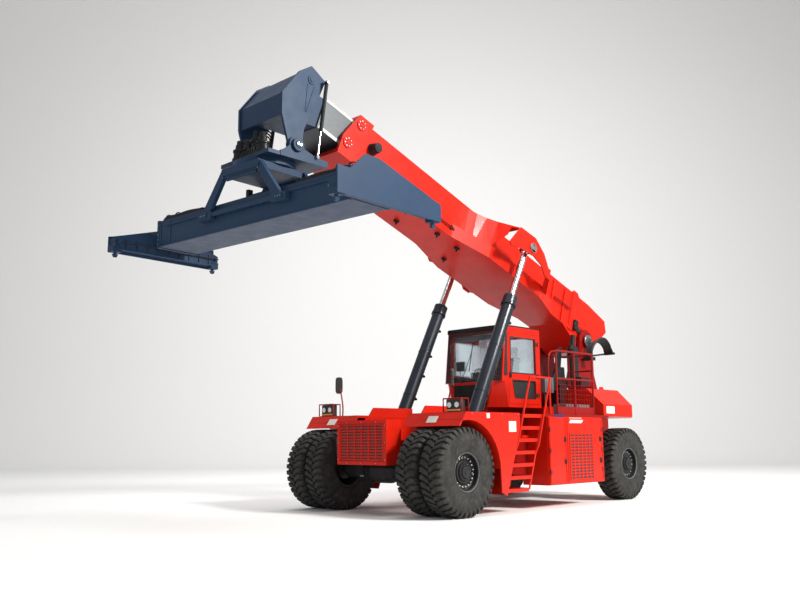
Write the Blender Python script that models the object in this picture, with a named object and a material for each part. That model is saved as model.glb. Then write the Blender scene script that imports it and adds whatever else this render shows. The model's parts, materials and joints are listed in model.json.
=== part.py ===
"""Container reach stacker: chassis, cab, telescopic boom and telescopic spreader.

Frame: metres, +X forward, +Y to the machine's left, +Z up.  The machine is laid out from the
ground point under the front axle's centre; an empty then moves it so that the world origin is
under the middle of its bounding box.
"""
from math import atan2, cos, hypot, pi, radians, sin

import bmesh
import bpy
from mathutils import Euler, Matrix, Vector

# ------------------------------------------------------------------ driving dimensions
GAP = 0.0003                 # between pieces that touch
RUN_GAP = 0.0009             # at a bearing, a slide pad or a rod
CLEAR = 0.006                # between pieces that move past each other

WHEELBASE = 6.0
TYRE_RADIUS = 0.81
TYRE_WIDTH = 0.50
TYRE_SIDES = 32              # flats round a tyre; it stands on one of them
PIN_SIDES = 24               # flats round a pin that turns in a bore
RIM_RADIUS = 0.345
RIM_WALL = 0.024
FRONT_INNER_Y = 1.26         # middle of each tyre
FRONT_OUTER_Y = 1.84
REAR_TYRE_Y = 1.70
KINGPIN_Y = 1.24
KINGPIN_RADIUS = 0.050
SPINDLE_RADIUS = 0.060

FRAME_HALF_WIDTH = 0.60
FRAME_PLATE = 0.10
FRAME_BOTTOM = 0.72
FRAME_TOP = 1.38
FRAME_OVER_AXLE = 0.98
FRAME_FRONT = 0.22
FRAME_REAR = -6.95

GRILLE_FRONT = 0.65
GRILLE_DEPTH = 0.40
GRILLE_HALF_WIDTH = 0.67
GRILLE_BOTTOM = 0.92
GRILLE_TOP = 1.76

DECK_TOP = 1.88
DECK_PLATE = 0.05
SIDE_PLATE_TOP = 2.04        # raised edge of the deck beside the frame
SIDE_Y = 2.05                # outer faces of fenders and side boxes
FENDER_INNER_Y = 0.70
FENDER_NOSE = 0.06
FENDER_LIP = 0.25
FENDER_REAR = -1.56
FENDER_FOOT = (-1.11, 0.34)     # lowest rear corner of the skirt (x, z)
FENDER_BEND = 1.60              # height where its sloping rear edge turns upright
ARCH_RADIUS = 0.93
ARCH_START = 79.5            # degrees up from level where the arch meets the sloping nose

BOX_FRONT = -2.55
BOX_REAR = -4.62
BOX_BOTTOM = 0.46
BOX_DEPTH = 0.62
BOX_WALL = 0.03
DOOR_THICKNESS = 0.04
BOX_DOOR_SPLIT = -3.20

LADDER_FRONT = -1.15            # front edge of the stringers at their foot
LADDER_WIDTH = 0.70
LADDER_STEPS = 6
RAIL_LANDING = 2.60             # height of the handrail over the landing
RAIL_RADIUS = 0.022
RAIL_Y = 1.99
RAIL_TOP = 3.22
RAIL_FRONT = -3.05
RAIL_REAR = -4.45
PLATFORM_REAR = -4.95

ENGINE_REAR = -5.05
ENGINE_FRONT = -3.75
ENGINE_HALF_WIDTH = 0.42
ENGINE_BOTTOM = 0.96
ENGINE_TOP = 1.90

CAB_HALF_WIDTH = 0.80
CAB_FLOOR = 2.06
CAB_TOP = 3.82
CAB_COWL = (-2.66, 2.61)      # front face and top of the cowl below the windscreen
CAB_CORNER = ((0.34, 0.19), (0.33, 0.18))   # cowl's cut corners along and across: at the floor, at the top
CAB_FRONT = -2.76            # foot of the windscreen
CAB_FRONT_TOP = -2.90        # head of the windscreen
CAB_REAR = -4.20
CAB_WALL = 0.06
CAB_DOOR_FRONT = -3.01
CAB_DOOR_REAR = -4.11
CAB_DOOR_BOTTOM = 2.13
CAB_DOOR_TOP = 3.69
CAB_GLASS = 0.012

BOOM_PIVOT = (-6.50, 3.75)   # x, z
BOOM_ANGLE = radians(19.5)
BOOM_LENGTH = 8.78           # pivot to the nose
BOOM_TAIL = 0.98
BOOM_HALF_WIDTH = 0.50
BOOM_BOTTOM = 0.10
BOOM_TOP = 1.00
BOOM_WALL = 0.028
BELLY_HALF_WIDTH = 0.75
SHOULDER_Y = 1.20
SHOULDER_PLATE = 0.032
SHOULDER_APEX = 3.95         # along the boom
SHOULDER_FRONT = 5.45
INNER_HALF_WIDTH = 0.42
INNER_BOTTOM = 0.27
INNER_TOP = 0.945
INNER_WALL = 0.022
INNER_REAR = 1.05
INNER_FRONT = 9.30
TOWER_PLATE = 0.07
BOOM_PIN_RADIUS = 0.12

LIFT_BASE = (-1.06, 1.00)    # x, z of the foot pin
LIFT_Y = 1.00
LIFT_PIN = (3.44, 0.72)      # along and across the boom
LIFT_ROD_START = 1.45           # the rod's end inside the barrel, from the foot pin
LIFT_BARREL = 3.88           # foot pin to the top of the gland
LIFT_BARREL_RADIUS = 0.14
LIFT_ROD_RADIUS = 0.075
LIFT_EYE_RADIUS = 0.12
LIFT_FOOT_PIN = 0.055
LIFT_SLOT = (-1.86, -1.22)   # opening in the deck, rear and front

HEAD_PIN = (2.87, 6.52)      # x, z
HEAD_PLATE_Y = 0.60          # inner face of each head plate
HEAD_PLATE = 0.05
YOKE_EAR = 0.055
DAMPER_TOP = (2.21, 7.87)
DAMPER_FOOT = (2.42, 6.40)
DAMPER_BARREL = 0.98
DAMPER_RADIUS = 0.035
DAMPER_ROD_RADIUS = 0.019

SPREADER_X = 3.04
SPREADER_YAW = radians(3.4)
BEAM_BOTTOM = 5.08
BEAM_TOP = 5.59
BEAM_HALF_WIDTH = 0.43
BEAM_HALF_LENGTH = 2.56
BEAM_WALL = 0.022
RAIL_BAR = (5.46, 5.50)      # slide rail on each face of the beam, bottom and top
RAIL_BAR_DEPTH = 0.035
LOCK_HALF_LENGTH = 2.9265    # twistlock centres, 20 foot position
LOCK_HALF_WIDTH = 1.1295
LOCK_TIP = 4.83
END_HALF_LENGTH = 1.22
END_OUTER_Y = 3.04
RING_RADIUS = 0.56

SKIN = {
    "orange": ((0.80, 0.085, 0.020), 0.35, 0.0),
    "red": ((0.55, 0.030, 0.020), 0.40, 0.0),
    "slate": ((0.060, 0.080, 0.105), 0.40, 0.0),
    "black": ((0.018, 0.018, 0.020), 0.50, 0.0),
    "rubber": ((0.022, 0.021, 0.020), 0.85, 0.0),
    "chrome": ((0.80, 0.81, 0.82), 0.12, 1.0),
    "grey": ((0.16, 0.17, 0.18), 0.50, 0.0),
    "web": ((0.22, 0.24, 0.25), 0.45, 0.0),
    "glass": ((0.25, 0.33, 0.38), 0.05, 0.0),
}

# ------------------------------------------------------------------ derived places
AXLE_Z = TYRE_RADIUS * cos(pi / TYRE_SIDES)
REAR_AXLE_X = -WHEELBASE


def on_boom(along, across):
    """x, z in the machine of a point given along and across the boom."""
    return (BOOM_PIVOT[0] + along * cos(BOOM_ANGLE) - across * sin(BOOM_ANGLE),
            BOOM_PIVOT[1] + along * sin(BOOM_ANGLE) + across * cos(BOOM_ANGLE))


TAIL_POINTS = [(0.0, BOOM_TOP + 0.06), (-0.84, 0.96), (-BOOM_TAIL, 0.70), (-0.76, 0.41), (-0.30, 0.05)]
REAR_REACH = min(on_boom(*point)[0] for point in TAIL_POINTS)
FRONT_REACH = (SPREADER_X + END_HALF_LENGTH * cos(SPREADER_YAW) + END_OUTER_Y * sin(SPREADER_YAW))
MACHINE_X = -(FRONT_REACH + REAR_REACH) / 2


# ------------------------------------------------------------------ shape tools
def clear_scene():
    for thing in list(bpy.data.objects):
        bpy.data.objects.remove(thing, do_unlink=True)


def skin(name):
    material = bpy.data.materials.get(name)
    if material is None:
        colour, roughness, metallic = SKIN[name]
        material = bpy.data.materials.new(name)
        material.use_nodes = True
        shader = material.node_tree.nodes["Principled BSDF"]
        shader.inputs["Base Color"].default_value = (*colour, 1.0)
        shader.inputs["Roughness"].default_value = roughness
        shader.inputs["Metallic"].default_value = metallic
        material.diffuse_color = (*colour, 1.0)
    return material


def mesh_object(bm, name="piece"):
    bmesh.ops.recalc_face_normals(bm, faces=bm.faces)
    mesh = bpy.data.meshes.new(name)
    bm.to_mesh(mesh)
    bm.free()
    thing = bpy.data.objects.new(name, mesh)
    bpy.context.scene.collection.objects.link(thing)
    return thing


def prism(outline, low, high, axis="y"):
    """A closed outline pushed from low to high along an axis; the outline names the other two."""
    place = {"x": lambda a, b, c: (c, a, b), "y": lambda a, b, c: (a, c, b),
             "z": lambda a, b, c: (a, b, c)}[axis]
    bm = bmesh.new()
    face = bm.faces.new([bm.verts.new(place(a, b, low)) for a, b in outline])
    pushed = bmesh.ops.extrude_face_region(bm, geom=[face])
    step = Vector(place(0, 0, high)) - Vector(place(0, 0, low))
    bmesh.ops.translate(bm, vec=step, verts=[v for v in pushed["geom"] if isinstance(v, bmesh.types.BMVert)])
    return mesh_object(bm)


def block(x0, x1, y0, y1, z0, z1):
    return prism([(x0, z0), (x1, z0), (x1, z1), (x0, z1)], y0, y1)


def turned(profile, sides, ring=False):
    """A profile of (radius, y) turned round the Y axis; a ring's profile closes on itself."""
    bm = bmesh.new()
    turn = pi / sides
    verts = [bm.verts.new((r * sin(turn), y, -r * cos(turn))) for r, y in profile]
    edges = [bm.edges.new(pair) for pair in zip(verts, verts[1:])]
    if ring:
        edges.append(bm.edges.new((verts[-1], verts[0])))
    bmesh.ops.spin(bm, geom=verts + edges, cent=(0, 0, 0), axis=(0, 1, 0), angle=2 * pi, steps=sides,
                   use_merge=True)
    bmesh.ops.remove_doubles(bm, verts=bm.verts, dist=1e-6)
    return mesh_object(bm)


def along_x(thing):
    """Lay a piece that was turned round Y along X."""
    thing.data.transform(Matrix.Rotation(-pi / 2, 4, "Z"))
    return thing


def rod(start, end, radius, sides=16):
    """A round bar between two points."""
    start, end = Vector(start), Vector(end)
    bm = bmesh.new()
    bmesh.ops.create_cone(bm, cap_ends=True, segments=sides, radius1=radius, radius2=radius,
                          depth=(end - start).length)
    turn = (end - start).to_track_quat("Z", "Y").to_matrix().to_4x4()
    bm.transform(Matrix.Translation((start + end) / 2) @ turn)
    return mesh_object(bm)


def tube(points, radius, sides=8):
    """A bent tube along points, as a bevelled curve with filled caps made into a mesh."""
    curve = bpy.data.curves.new("tube", "CURVE")
    curve.dimensions = "3D"
    spline = curve.splines.new("POLY")
    spline.points.add(len(points) - 1)
    for knot, point in zip(spline.points, points):
        knot.co = (*point, 1.0)
    curve.bevel_depth = radius
    curve.bevel_resolution = sides // 4
    curve.use_fill_caps = True
    thing = bpy.data.objects.new("tube", curve)
    bpy.context.scene.collection.objects.link(thing)
    mesh = bpy.data.meshes.new_from_object(thing.evaluated_get(bpy.context.evaluated_depsgraph_get()))
    bpy.data.objects.remove(thing, do_unlink=True)
    bm = bmesh.new()
    bm.from_mesh(mesh)
    bmesh.ops.remove_doubles(bm, verts=bm.verts, dist=1e-6)
    return mesh_object(bm)


def loft(sections):
    """A closed body through sections that have the same number of points each."""
    bm = bmesh.new()
    rows = [[bm.verts.new(point) for point in section] for section in sections]
    count = len(rows[0])
    for low, high in zip(rows, rows[1:]):
        for i in range(count):
            j = (i + 1) % count
            bm.faces.new((low[i], low[j], high[j], high[i]))
    bm.faces.new(rows[0])
    bm.faces.new(rows[-1])
    bmesh.ops.triangulate(bm, faces=bm.faces)
    return mesh_object(bm)


def arc(centre, radius, start, end, steps):
    """Points of an arc, angles in degrees."""
    turns = [radians(start + (end - start) * i / steps) for i in range(steps + 1)]
    return [(centre[0] + radius * cos(t), centre[1] + radius * sin(t)) for t in turns]


def combine(base, others, operation):
    """One exact Boolean of base with all the others, which are used up."""
    if not others:
        return base
    group = bpy.data.collections.new("operands")
    for thing in others:
        group.objects.link(thing)
    change = base.modifiers.new(operation, "BOOLEAN")
    change.operation = operation
    change.operand_type = "COLLECTION"
    change.collection = group
    mesh = bpy.data.meshes.new_from_object(base.evaluated_get(bpy.context.evaluated_depsgraph_get()))
    base.modifiers.clear()
    base.data = mesh
    for thing in others:
        bpy.data.objects.remove(thing, do_unlink=True)
    bpy.data.collections.remove(group)
    return base


def node(name, skin_name, solids, cuts=(), parent=None, place=(0, 0, 0), smooth=0):
    """One named body: the solids joined, the cuts taken away, set on its parent."""
    thing = combine(solids[0], solids[1:], "UNION")
    thing = combine(thing, list(cuts), "DIFFERENCE")
    thing.name = name
    thing.data.name = name
    thing.data.materials.clear()
    thing.data.materials.append(skin(skin_name))
    thing.location = place
    thing.parent = parent
    if smooth:
        thing.data.shade_smooth()
        thing.data.set_sharp_from_angle(angle=radians(smooth))
    return thing


def empty(name, place, parent=None, turn=(0, 0, 0)):
    thing = bpy.data.objects.new(name, None)
    thing.location = place
    thing.rotation_euler = Euler(turn)
    thing.parent = parent
    bpy.context.scene.collection.objects.link(thing)
    return thing


SIDES = (("left", 1), ("right", -1))


def span(side, inner, outer):
    """The two y values of a piece that lies from inner to outer on one side."""
    return sorted((side * inner, side * outer))


# ------------------------------------------------------------------ chassis
def make_chassis(machine):
    outer, inner = FRAME_HALF_WIDTH, FRAME_HALF_WIDTH - FRAME_PLATE
    solids = []
    side_outline = [(FRAME_FRONT, FRAME_OVER_AXLE), (FRAME_FRONT, FRAME_TOP), (FRAME_REAR, FRAME_TOP),
                    (FRAME_REAR, FRAME_BOTTOM + 0.42), (REAR_AXLE_X - 0.55, FRAME_BOTTOM + 0.42),
                    (REAR_AXLE_X - 0.30, AXLE_Z + 0.245), (REAR_AXLE_X + 0.30, AXLE_Z + 0.245),
                    (REAR_AXLE_X + 0.60, FRAME_BOTTOM), (-0.80, FRAME_BOTTOM), (-0.40, FRAME_OVER_AXLE)]
    for _, side in SIDES:
        solids.append(prism(side_outline, *span(side, inner, outer)))
    for x in (FRAME_FRONT - 0.12, -1.35, -2.9, -5.30, FRAME_REAR + 0.12):
        solids.append(block(x - 0.10, x + 0.10, -outer + 0.02, outer - 0.02, FRAME_BOTTOM + 0.45,
                            FRAME_TOP - 0.0004))
    # foot brackets of the lift cylinders: two lugs on a cross box each side
    foot_x, foot_z = LIFT_BASE
    for _, side in SIDES:
        solids.append(block(foot_x - 0.26, foot_x + 0.20, *span(side, outer - 0.02, LIFT_Y + 0.145),
                            foot_z - 0.30, foot_z - 0.17))
        for lug in (LIFT_Y - 0.125, LIFT_Y + 0.125):
            outline = [(foot_x - 0.22, foot_z - 0.20), (foot_x + 0.17, foot_z - 0.20)] + arc(
                LIFT_BASE, 0.13, -5, 185, 8)
            solids.append(prism(outline, *span(side, lug - 0.02, lug + 0.02)))
        solids.append(rod((foot_x, side * (LIFT_Y - 0.14), foot_z), (foot_x, side * (LIFT_Y + 0.14), foot_z),
                          LIFT_FOOT_PIN, PIN_SIDES))
    node("chassis_frame", "orange", solids, parent=machine)


def make_front_axle(machine):
    tube_end = FRONT_INNER_Y - TYRE_WIDTH / 2 - 0.02
    solids = [turned([(0, -tube_end), (0.15, -tube_end), (0.15, -0.40), (0.20, -0.34), (0.25, -0.18),
                      (0.25, 0.18),
                      (0.20, 0.34), (0.15, 0.40), (0.15, tube_end), (0, tube_end)], 16)]
    solids.append(rod((0, -FRONT_OUTER_Y + 0.10, 0), (0, FRONT_OUTER_Y - 0.10, 0), SPINDLE_RADIUS, PIN_SIDES))
    pad_top = FRAME_OVER_AXLE - AXLE_Z - GAP
    pad = FRAME_HALF_WIDTH - FRAME_PLATE / 2
    for _, side in SIDES:
        solids.append(block(-0.17, 0.17, side * pad - 0.10, side * pad + 0.10, -0.10, pad_top))
    node("front_axle", "black", solids, parent=machine, place=(0, 0, AXLE_Z), smooth=30)


def make_grille_box(machine):
    front, back = GRILLE_FRONT, GRILLE_FRONT - GRILLE_DEPTH
    shell = block(back, front, -GRILLE_HALF_WIDTH, GRILLE_HALF_WIDTH, GRILLE_BOTTOM, GRILLE_TOP)
    recess = block(front - 0.03, front + 0.05, -GRILLE_HALF_WIDTH + 0.07, GRILLE_HALF_WIDTH - 0.07,
                   GRILLE_BOTTOM + 0.07, GRILLE_TOP - 0.07)
    bridge = block(FRAME_FRONT + GAP, back + 0.02, -0.50, 0.50, GRILLE_BOTTOM + 0.10, FRAME_TOP - 0.04)
    node("front_grille_box", "orange", [shell, bridge], [recess], parent=machine)


def lift_slot(side):
    """Cutter for the opening in the deck that a lift cylinder swings in."""
    return block(*LIFT_SLOT, *span(side, LIFT_Y - 0.165, LIFT_Y + 0.165), DECK_TOP - 0.3, DECK_TOP + 0.3)


def make_fender(machine, name, side):
    hub = (0, AXLE_Z)
    skirt = arc(hub, ARCH_RADIUS, ARCH_START, 180, 9) + [(-ARCH_RADIUS - 0.02, 0.42), FENDER_FOOT,
                                                         (FENDER_REAR, FENDER_BEND),
                                                         (FENDER_REAR, DECK_TOP), (FENDER_NOSE, DECK_TOP)]
    outer = SIDE_Y + 0.06
    solids = [prism(skirt, *span(side, outer - 0.03, outer))]
    solids.append(block(FENDER_REAR + 0.001, FENDER_NOSE - 0.001, *span(side, FENDER_INNER_Y, outer - 0.01),
                        DECK_TOP - DECK_PLATE, DECK_TOP - 0.001))
    nose = [(FENDER_NOSE - 0.035, DECK_TOP - 0.003), (FENDER_NOSE - 0.002, DECK_TOP - 0.003),
            (FENDER_LIP - 0.004, 1.626), (FENDER_LIP - 0.040, 1.626)]
    solids.append(prism(nose, *span(side, FENDER_INNER_Y, outer - 0.012)))
    liner = arc(hub, ARCH_RADIUS + 0.028, ARCH_START + 1, 178, 9) + arc(hub, ARCH_RADIUS + 0.003, 178,
                                                                        ARCH_START + 1, 9)
    solids.append(prism(liner, *span(side, LIFT_Y + 0.17, outer - 0.014)))
    # rear wall behind the wheels, down to the skirt's foot, and the inner web that bolts to the frame
    foot_x, foot_z = FENDER_FOOT
    wall = [(foot_x - 0.006, foot_z + 0.02), (FENDER_REAR + 0.002, FENDER_BEND),
            (FENDER_REAR + 0.002, DECK_TOP - 0.004),
            (FENDER_REAR + 0.030, DECK_TOP - 0.004), (FENDER_REAR + 0.030, FENDER_BEND + 0.005),
            (foot_x + 0.024, foot_z + 0.02)]
    solids.append(prism(wall, *span(side, 1.30, outer - 0.011)))
    web = [(FENDER_NOSE - 0.20, DECK_TOP - 0.02), (FENDER_NOSE - 0.20, FRAME_TOP - 0.15),
           (FENDER_REAR + 0.01, FRAME_TOP - 0.15), (FENDER_REAR + 0.01, SIDE_PLATE_TOP),
           (FENDER_NOSE - 0.45, SIDE_PLATE_TOP), (FENDER_NOSE - 0.31, DECK_TOP - 0.02)]
    solids.append(prism(web, *span(side, FENDER_INNER_Y + 0.005, FENDER_INNER_Y + 0.04)))
    solids.append(block(FENDER_REAR + 0.35, FENDER_NOSE - 0.25,
                        *span(side, FRAME_HALF_WIDTH + GAP, FENDER_INNER_Y + 0.02), FRAME_TOP - 0.12,
                        FRAME_TOP - 0.02))
    node("front_fender_" + name, "orange", solids, [lift_slot(side)], parent=machine)


def make_side_box(machine, name, side, with_doors):
    inner = SIDE_Y - BOX_DEPTH
    shell = block(BOX_REAR, BOX_FRONT, *span(side, inner, SIDE_Y), BOX_BOTTOM, DECK_TOP - DECK_PLATE - GAP)
    cuts = []
    if with_doors:
        top = DECK_TOP - DECK_PLATE - BOX_WALL
        for rear, front in ((BOX_DOOR_SPLIT + BOX_WALL / 2, BOX_FRONT - BOX_WALL),
                            (BOX_REAR + BOX_WALL, BOX_DOOR_SPLIT - BOX_WALL / 2)):
            cuts.append(block(rear, front, *span(side, inner + BOX_WALL, SIDE_Y + 0.05),
                              BOX_BOTTOM + BOX_WALL, top))
    arms = [block(x - 0.08, x + 0.08, *span(side, FRAME_HALF_WIDTH + GAP, inner + 0.02), FRAME_BOTTOM + 0.12,
                  FRAME_BOTTOM + 0.36) for x in (BOX_FRONT - 0.30, BOX_REAR + 0.30)]
    node("side_box_" + name, "orange", [shell] + arms, cuts, parent=machine)
    if not with_doors:
        return
    lap = 0.012
    y0 = SIDE_Y + GAP
    doors = (("battery_door", BOX_DOOR_SPLIT + 0.004, BOX_FRONT - lap), ("louvre_door", BOX_REAR + lap,
                                                                       BOX_DOOR_SPLIT - 0.004))
    for label, rear, front in doors:
        hinge_x = front if label == "battery_door" else rear
        leaf = block(rear - hinge_x, front - hinge_x, 0, DOOR_THICKNESS, BOX_BOTTOM + lap,
                     DECK_TOP - DECK_PLATE - lap)
        node(label, "orange", [leaf], parent=machine, place=(hinge_x, y0, 0))


def make_ladder(machine):
    """Steps and handrails up the left side, between the fender and the side box."""
    side = 1
    foot_z, head_z = 0.42, DECK_TOP - 0.02
    step_inner, step_outer = 1.56, SIDE_Y + 0.02
    foot_x = LADDER_FRONT
    solids = []
    width = LADDER_WIDTH
    lean = (FENDER_REAR - FENDER_FOOT[0]) / (FENDER_BEND - FENDER_FOOT[1])
    for y in (step_inner, step_outer - 0.02):
        for edge in (0.0, -width):
            bar = [(foot_x + edge, foot_z), (foot_x + edge - 0.04, foot_z),
                   (foot_x + edge - 0.04 + lean * (head_z - foot_z),
                    head_z), (foot_x + edge + lean * (head_z - foot_z), head_z)]
            solids.append(prism(bar, *span(side, y, y + 0.02)))
    rise = (head_z - foot_z) / LADDER_STEPS
    for step in range(LADDER_STEPS + 1):
        z = foot_z + 0.02 + rise * step * 0.98
        x = foot_x + lean * (z - foot_z)
        solids.append(block(x - width - 0.03, x - 0.01,
                            *span(side, step_inner + 0.005, step_outer - 0.005), z - 0.02, z + 0.01))
    # brackets to the side box and to the fender's rear wall
    solids.append(block(FENDER_REAR - 0.11, FENDER_REAR - GAP,
                        *span(side, step_inner + 0.003, step_inner + 0.06), 1.70, 1.76))
    solids.append(block(BOX_FRONT + GAP, BOX_FRONT + 0.40,
                        *span(side, step_inner + 0.003, step_inner + 0.06), 1.40, 1.46))
    # sloping handrails that meet the rail of the landing
    stand, out = step_outer - 0.012, step_outer + 0.033
    landing = BOX_FRONT - 0.19

    def along(edge, z):
        return foot_x + edge - 0.02 + lean * (z - foot_z)

    solids.append(tube([(along(0, 1.10), side * stand, 1.10), (along(0, 1.27), side * out, 1.27),
                        (along(0, RAIL_LANDING), side * out, RAIL_LANDING),
                        (landing + 0.10, side * out, RAIL_LANDING),
                        (landing, side * (SIDE_Y - 0.03), RAIL_LANDING - 0.10),
                        (landing, side * (SIDE_Y - 0.03), DECK_TOP + GAP)], RAIL_RADIUS))
    solids.append(tube([(along(-width, 1.10), side * stand, 1.10), (along(-width, 1.27), side * out, 1.27),
                        (along(-width, RAIL_LANDING - 0.006), side * (out - 0.001), RAIL_LANDING - 0.006)],
                       RAIL_RADIUS * 0.9))
    node("ladder", "orange", solids, parent=machine)


def make_platform(machine, name, side):
    """Deck behind the fender with the guard rail on its outer edge."""
    outer = SIDE_Y
    deck = block(PLATFORM_REAR, FENDER_REAR - GAP, *span(side, CAB_HALF_WIDTH + 0.03, outer),
                 DECK_TOP - DECK_PLATE, DECK_TOP)
    gap = block(BOX_FRONT + 0.09, FENDER_REAR - 0.06, *span(side, 1.50, outer + 0.1),
                DECK_TOP - 0.1, DECK_TOP + 0.1)
    ledge = block(PLATFORM_REAR, FENDER_REAR - 0.2,
                  *span(side, FRAME_HALF_WIDTH + GAP, CAB_HALF_WIDTH + 0.16),
                  FRAME_TOP - 0.20, FRAME_TOP - 0.06)
    riser = block(PLATFORM_REAR + 0.01, FENDER_REAR - 0.21,
                  *span(side, CAB_HALF_WIDTH + 0.04, CAB_HALF_WIDTH + 0.10),
                  FRAME_TOP - 0.10, DECK_TOP - 0.02)
    posts = []
    if side < 0:
        node("platform_" + name, "orange", [deck, ledge, riser], [gap, lift_slot(side)], parent=machine)
        return
    y = side * RAIL_Y
    radius = RAIL_RADIUS
    floor = DECK_TOP - 0.02
    for x in (RAIL_FRONT, (RAIL_FRONT + RAIL_REAR) / 2 + 0.03, RAIL_REAR):
        posts.append(rod((x, y, floor), (x, y, RAIL_TOP), radius, 8))
    for z in (RAIL_TOP - 0.02, 2.62):
        posts.append(rod((RAIL_FRONT + 0.01, y, z), (RAIL_REAR - 0.01, y, z), radius * 0.95, 8))
    toe = block(RAIL_REAR, RAIL_FRONT, *span(side, RAIL_Y - 0.012, RAIL_Y + 0.012), DECK_TOP - 0.01,
                DECK_TOP + 0.16)
    node("platform_" + name, "red", [deck, ledge, riser, toe] + posts, [gap, lift_slot(side)], parent=machine)


def make_tower(machine):
    px, pz = BOOM_PIVOT
    inner = BOOM_HALF_WIDTH + 0.035 + CLEAR
    solids = []
    outline = [(-5.15, FRAME_TOP + GAP), (-6.93, FRAME_TOP + GAP), (-6.93, 2.60), (-6.80, 2.95)] + arc(
        BOOM_PIVOT, 0.30, 190, -10, 7) + [(-6.12, 3.2), (-5.70, 2.30), (-5.15, 1.95)]
    for _, side in SIDES:
        solids.append(prism(outline, *span(side, inner, inner + TOWER_PLATE)))
        solids.append(rod((px, side * (inner - CLEAR - 0.02), pz),
                          (px, side * (inner + TOWER_PLATE + 0.05), pz),
                          BOOM_PIN_RADIUS, 32))
    solids.append(block(-6.92, -6.80, -inner - 0.02, inner + 0.02, FRAME_TOP + 0.01, 2.58))
    node("boom_tower", "red", solids, parent=machine)


def make_counterweight(machine):
    top = 2.50
    low = 1.86
    front = -4.98
    plan_low = [(front, 1.92), (-6.25, 1.92), (-7.28, 1.30), (-7.28, -1.30), (-6.25, -1.92), (front, -1.92)]
    plan_top = [(front, 1.50), (-6.35, 1.50), (-6.98, 1.10), (-6.98, -1.10), (-6.35, -1.50), (front, -1.50)]
    body = loft([[(x, y, low) for x, y in plan_low], [(x, y, 2.13) for x, y in plan_low],
                 [(x, y, top) for x, y in plan_top]])
    keel = block(-7.27, FRAME_REAR - GAP, -0.68, 0.68, 0.80, low + 0.05)
    room = block(-6.93 - 0.004, front + 0.5, -0.66, 0.66, 1.0, 3.0)
    node("counterweight", "orange", [body, keel], [room], parent=machine)


def make_engine(machine):
    """Engine as one block hung between the frame plates on two bars, and the cover over it."""
    inside = FRAME_HALF_WIDTH - FRAME_PLATE - GAP
    solids = [block(ENGINE_REAR, ENGINE_FRONT, -ENGINE_HALF_WIDTH, ENGINE_HALF_WIDTH, ENGINE_BOTTOM,
                    ENGINE_TOP)]
    for x in (ENGINE_REAR + 0.15, ENGINE_FRONT - 0.15):
        solids.append(block(x - 0.05, x + 0.05, -inside, inside, FRAME_TOP - 0.32, FRAME_TOP - 0.20))
    node("engine_block", "grey", solids, parent=machine)
    half = CAB_HALF_WIDTH + 0.03 - GAP
    cover = block(PLATFORM_REAR, CAB_REAR - 0.10, -half, half, DECK_TOP - 0.10, 2.10)
    room = block(PLATFORM_REAR - 0.1, CAB_REAR, -0.60, 0.60, DECK_TOP - 0.2, ENGINE_TOP + 0.05)
    node("engine_cover", "orange", [cover], [room], parent=machine)


# ------------------------------------------------------------------ wheels
def tyre_profile(middle):
    half, outer = TYRE_WIDTH / 2, TYRE_RADIUS
    right = [(RIM_RADIUS, half - 0.05), (RIM_RADIUS + 0.06, half - 0.01), (outer - 0.20, half),
             (outer, half - 0.06)]
    return [(r, middle + y) for r, y in right] + [(r, middle - y) for r, y in reversed(right)]


def make_front_wheels(machine, name, side):
    for label, middle in (("inner", FRONT_INNER_Y), ("outer", FRONT_OUTER_Y)):
        node("front_tyre_%s_%s" % (label, name), "rubber",
             [turned(tyre_profile(side * middle), TYRE_SIDES, ring=True)],
             parent=machine, place=(0, 0, AXLE_Z), smooth=30)
    seat = TYRE_WIDTH / 2 - 0.04
    start, end = FRONT_INNER_Y - seat, FRONT_OUTER_Y + seat
    outside, inside, hub = RIM_RADIUS - GAP, RIM_RADIUS - RIM_WALL, 0.19
    disc = FRONT_OUTER_Y + 0.06
    bore, blind = SPINDLE_RADIUS + RUN_GAP, FRONT_OUTER_Y - 0.10 + CLEAR
    profile = [(0, blind), (bore, blind), (bore, start + 0.10), (hub, start + 0.10), (hub, disc),
               (inside, disc), (inside, start), (outside, start),
               (outside, end), (inside, end), (inside, disc + 0.03), (hub, disc + 0.03),
               (0.14, disc + 0.07), (0, disc + 0.07)]
    body = turned([(r, side * y) for r, y in profile], TYRE_SIDES)
    node("front_rim_" + name, "black", [body], parent=machine, place=(0, 0, AXLE_Z), smooth=30)


def make_rear_axle(machine):
    half = KINGPIN_Y
    beam = prism([(-0.20, -0.14), (0.20, -0.14), (0.20, 0.14), (-0.20, 0.14)], -half + 0.16, half - 0.16)
    solids = [beam]
    for _, side in SIDES:
        for z in (-0.17, 0.17):
            solids.append(block(-0.11, 0.11, *span(side, half - 0.26, half + 0.09), z - 0.03, z + 0.03))
        solids.append(block(-0.15, 0.15, *span(side, half - 0.30, half - 0.14), -0.19, 0.19))
        solids.append(rod((0, side * half, -0.21), (0, side * half, 0.21), KINGPIN_RADIUS, PIN_SIDES))
    solids.append(block(-0.28, 0.28, -FRAME_HALF_WIDTH + 0.02, FRAME_HALF_WIDTH - 0.02, 0.10, 0.2447))
    node("rear_axle", "black", solids, parent=machine, place=(REAR_AXLE_X, 0, AXLE_Z))


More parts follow.
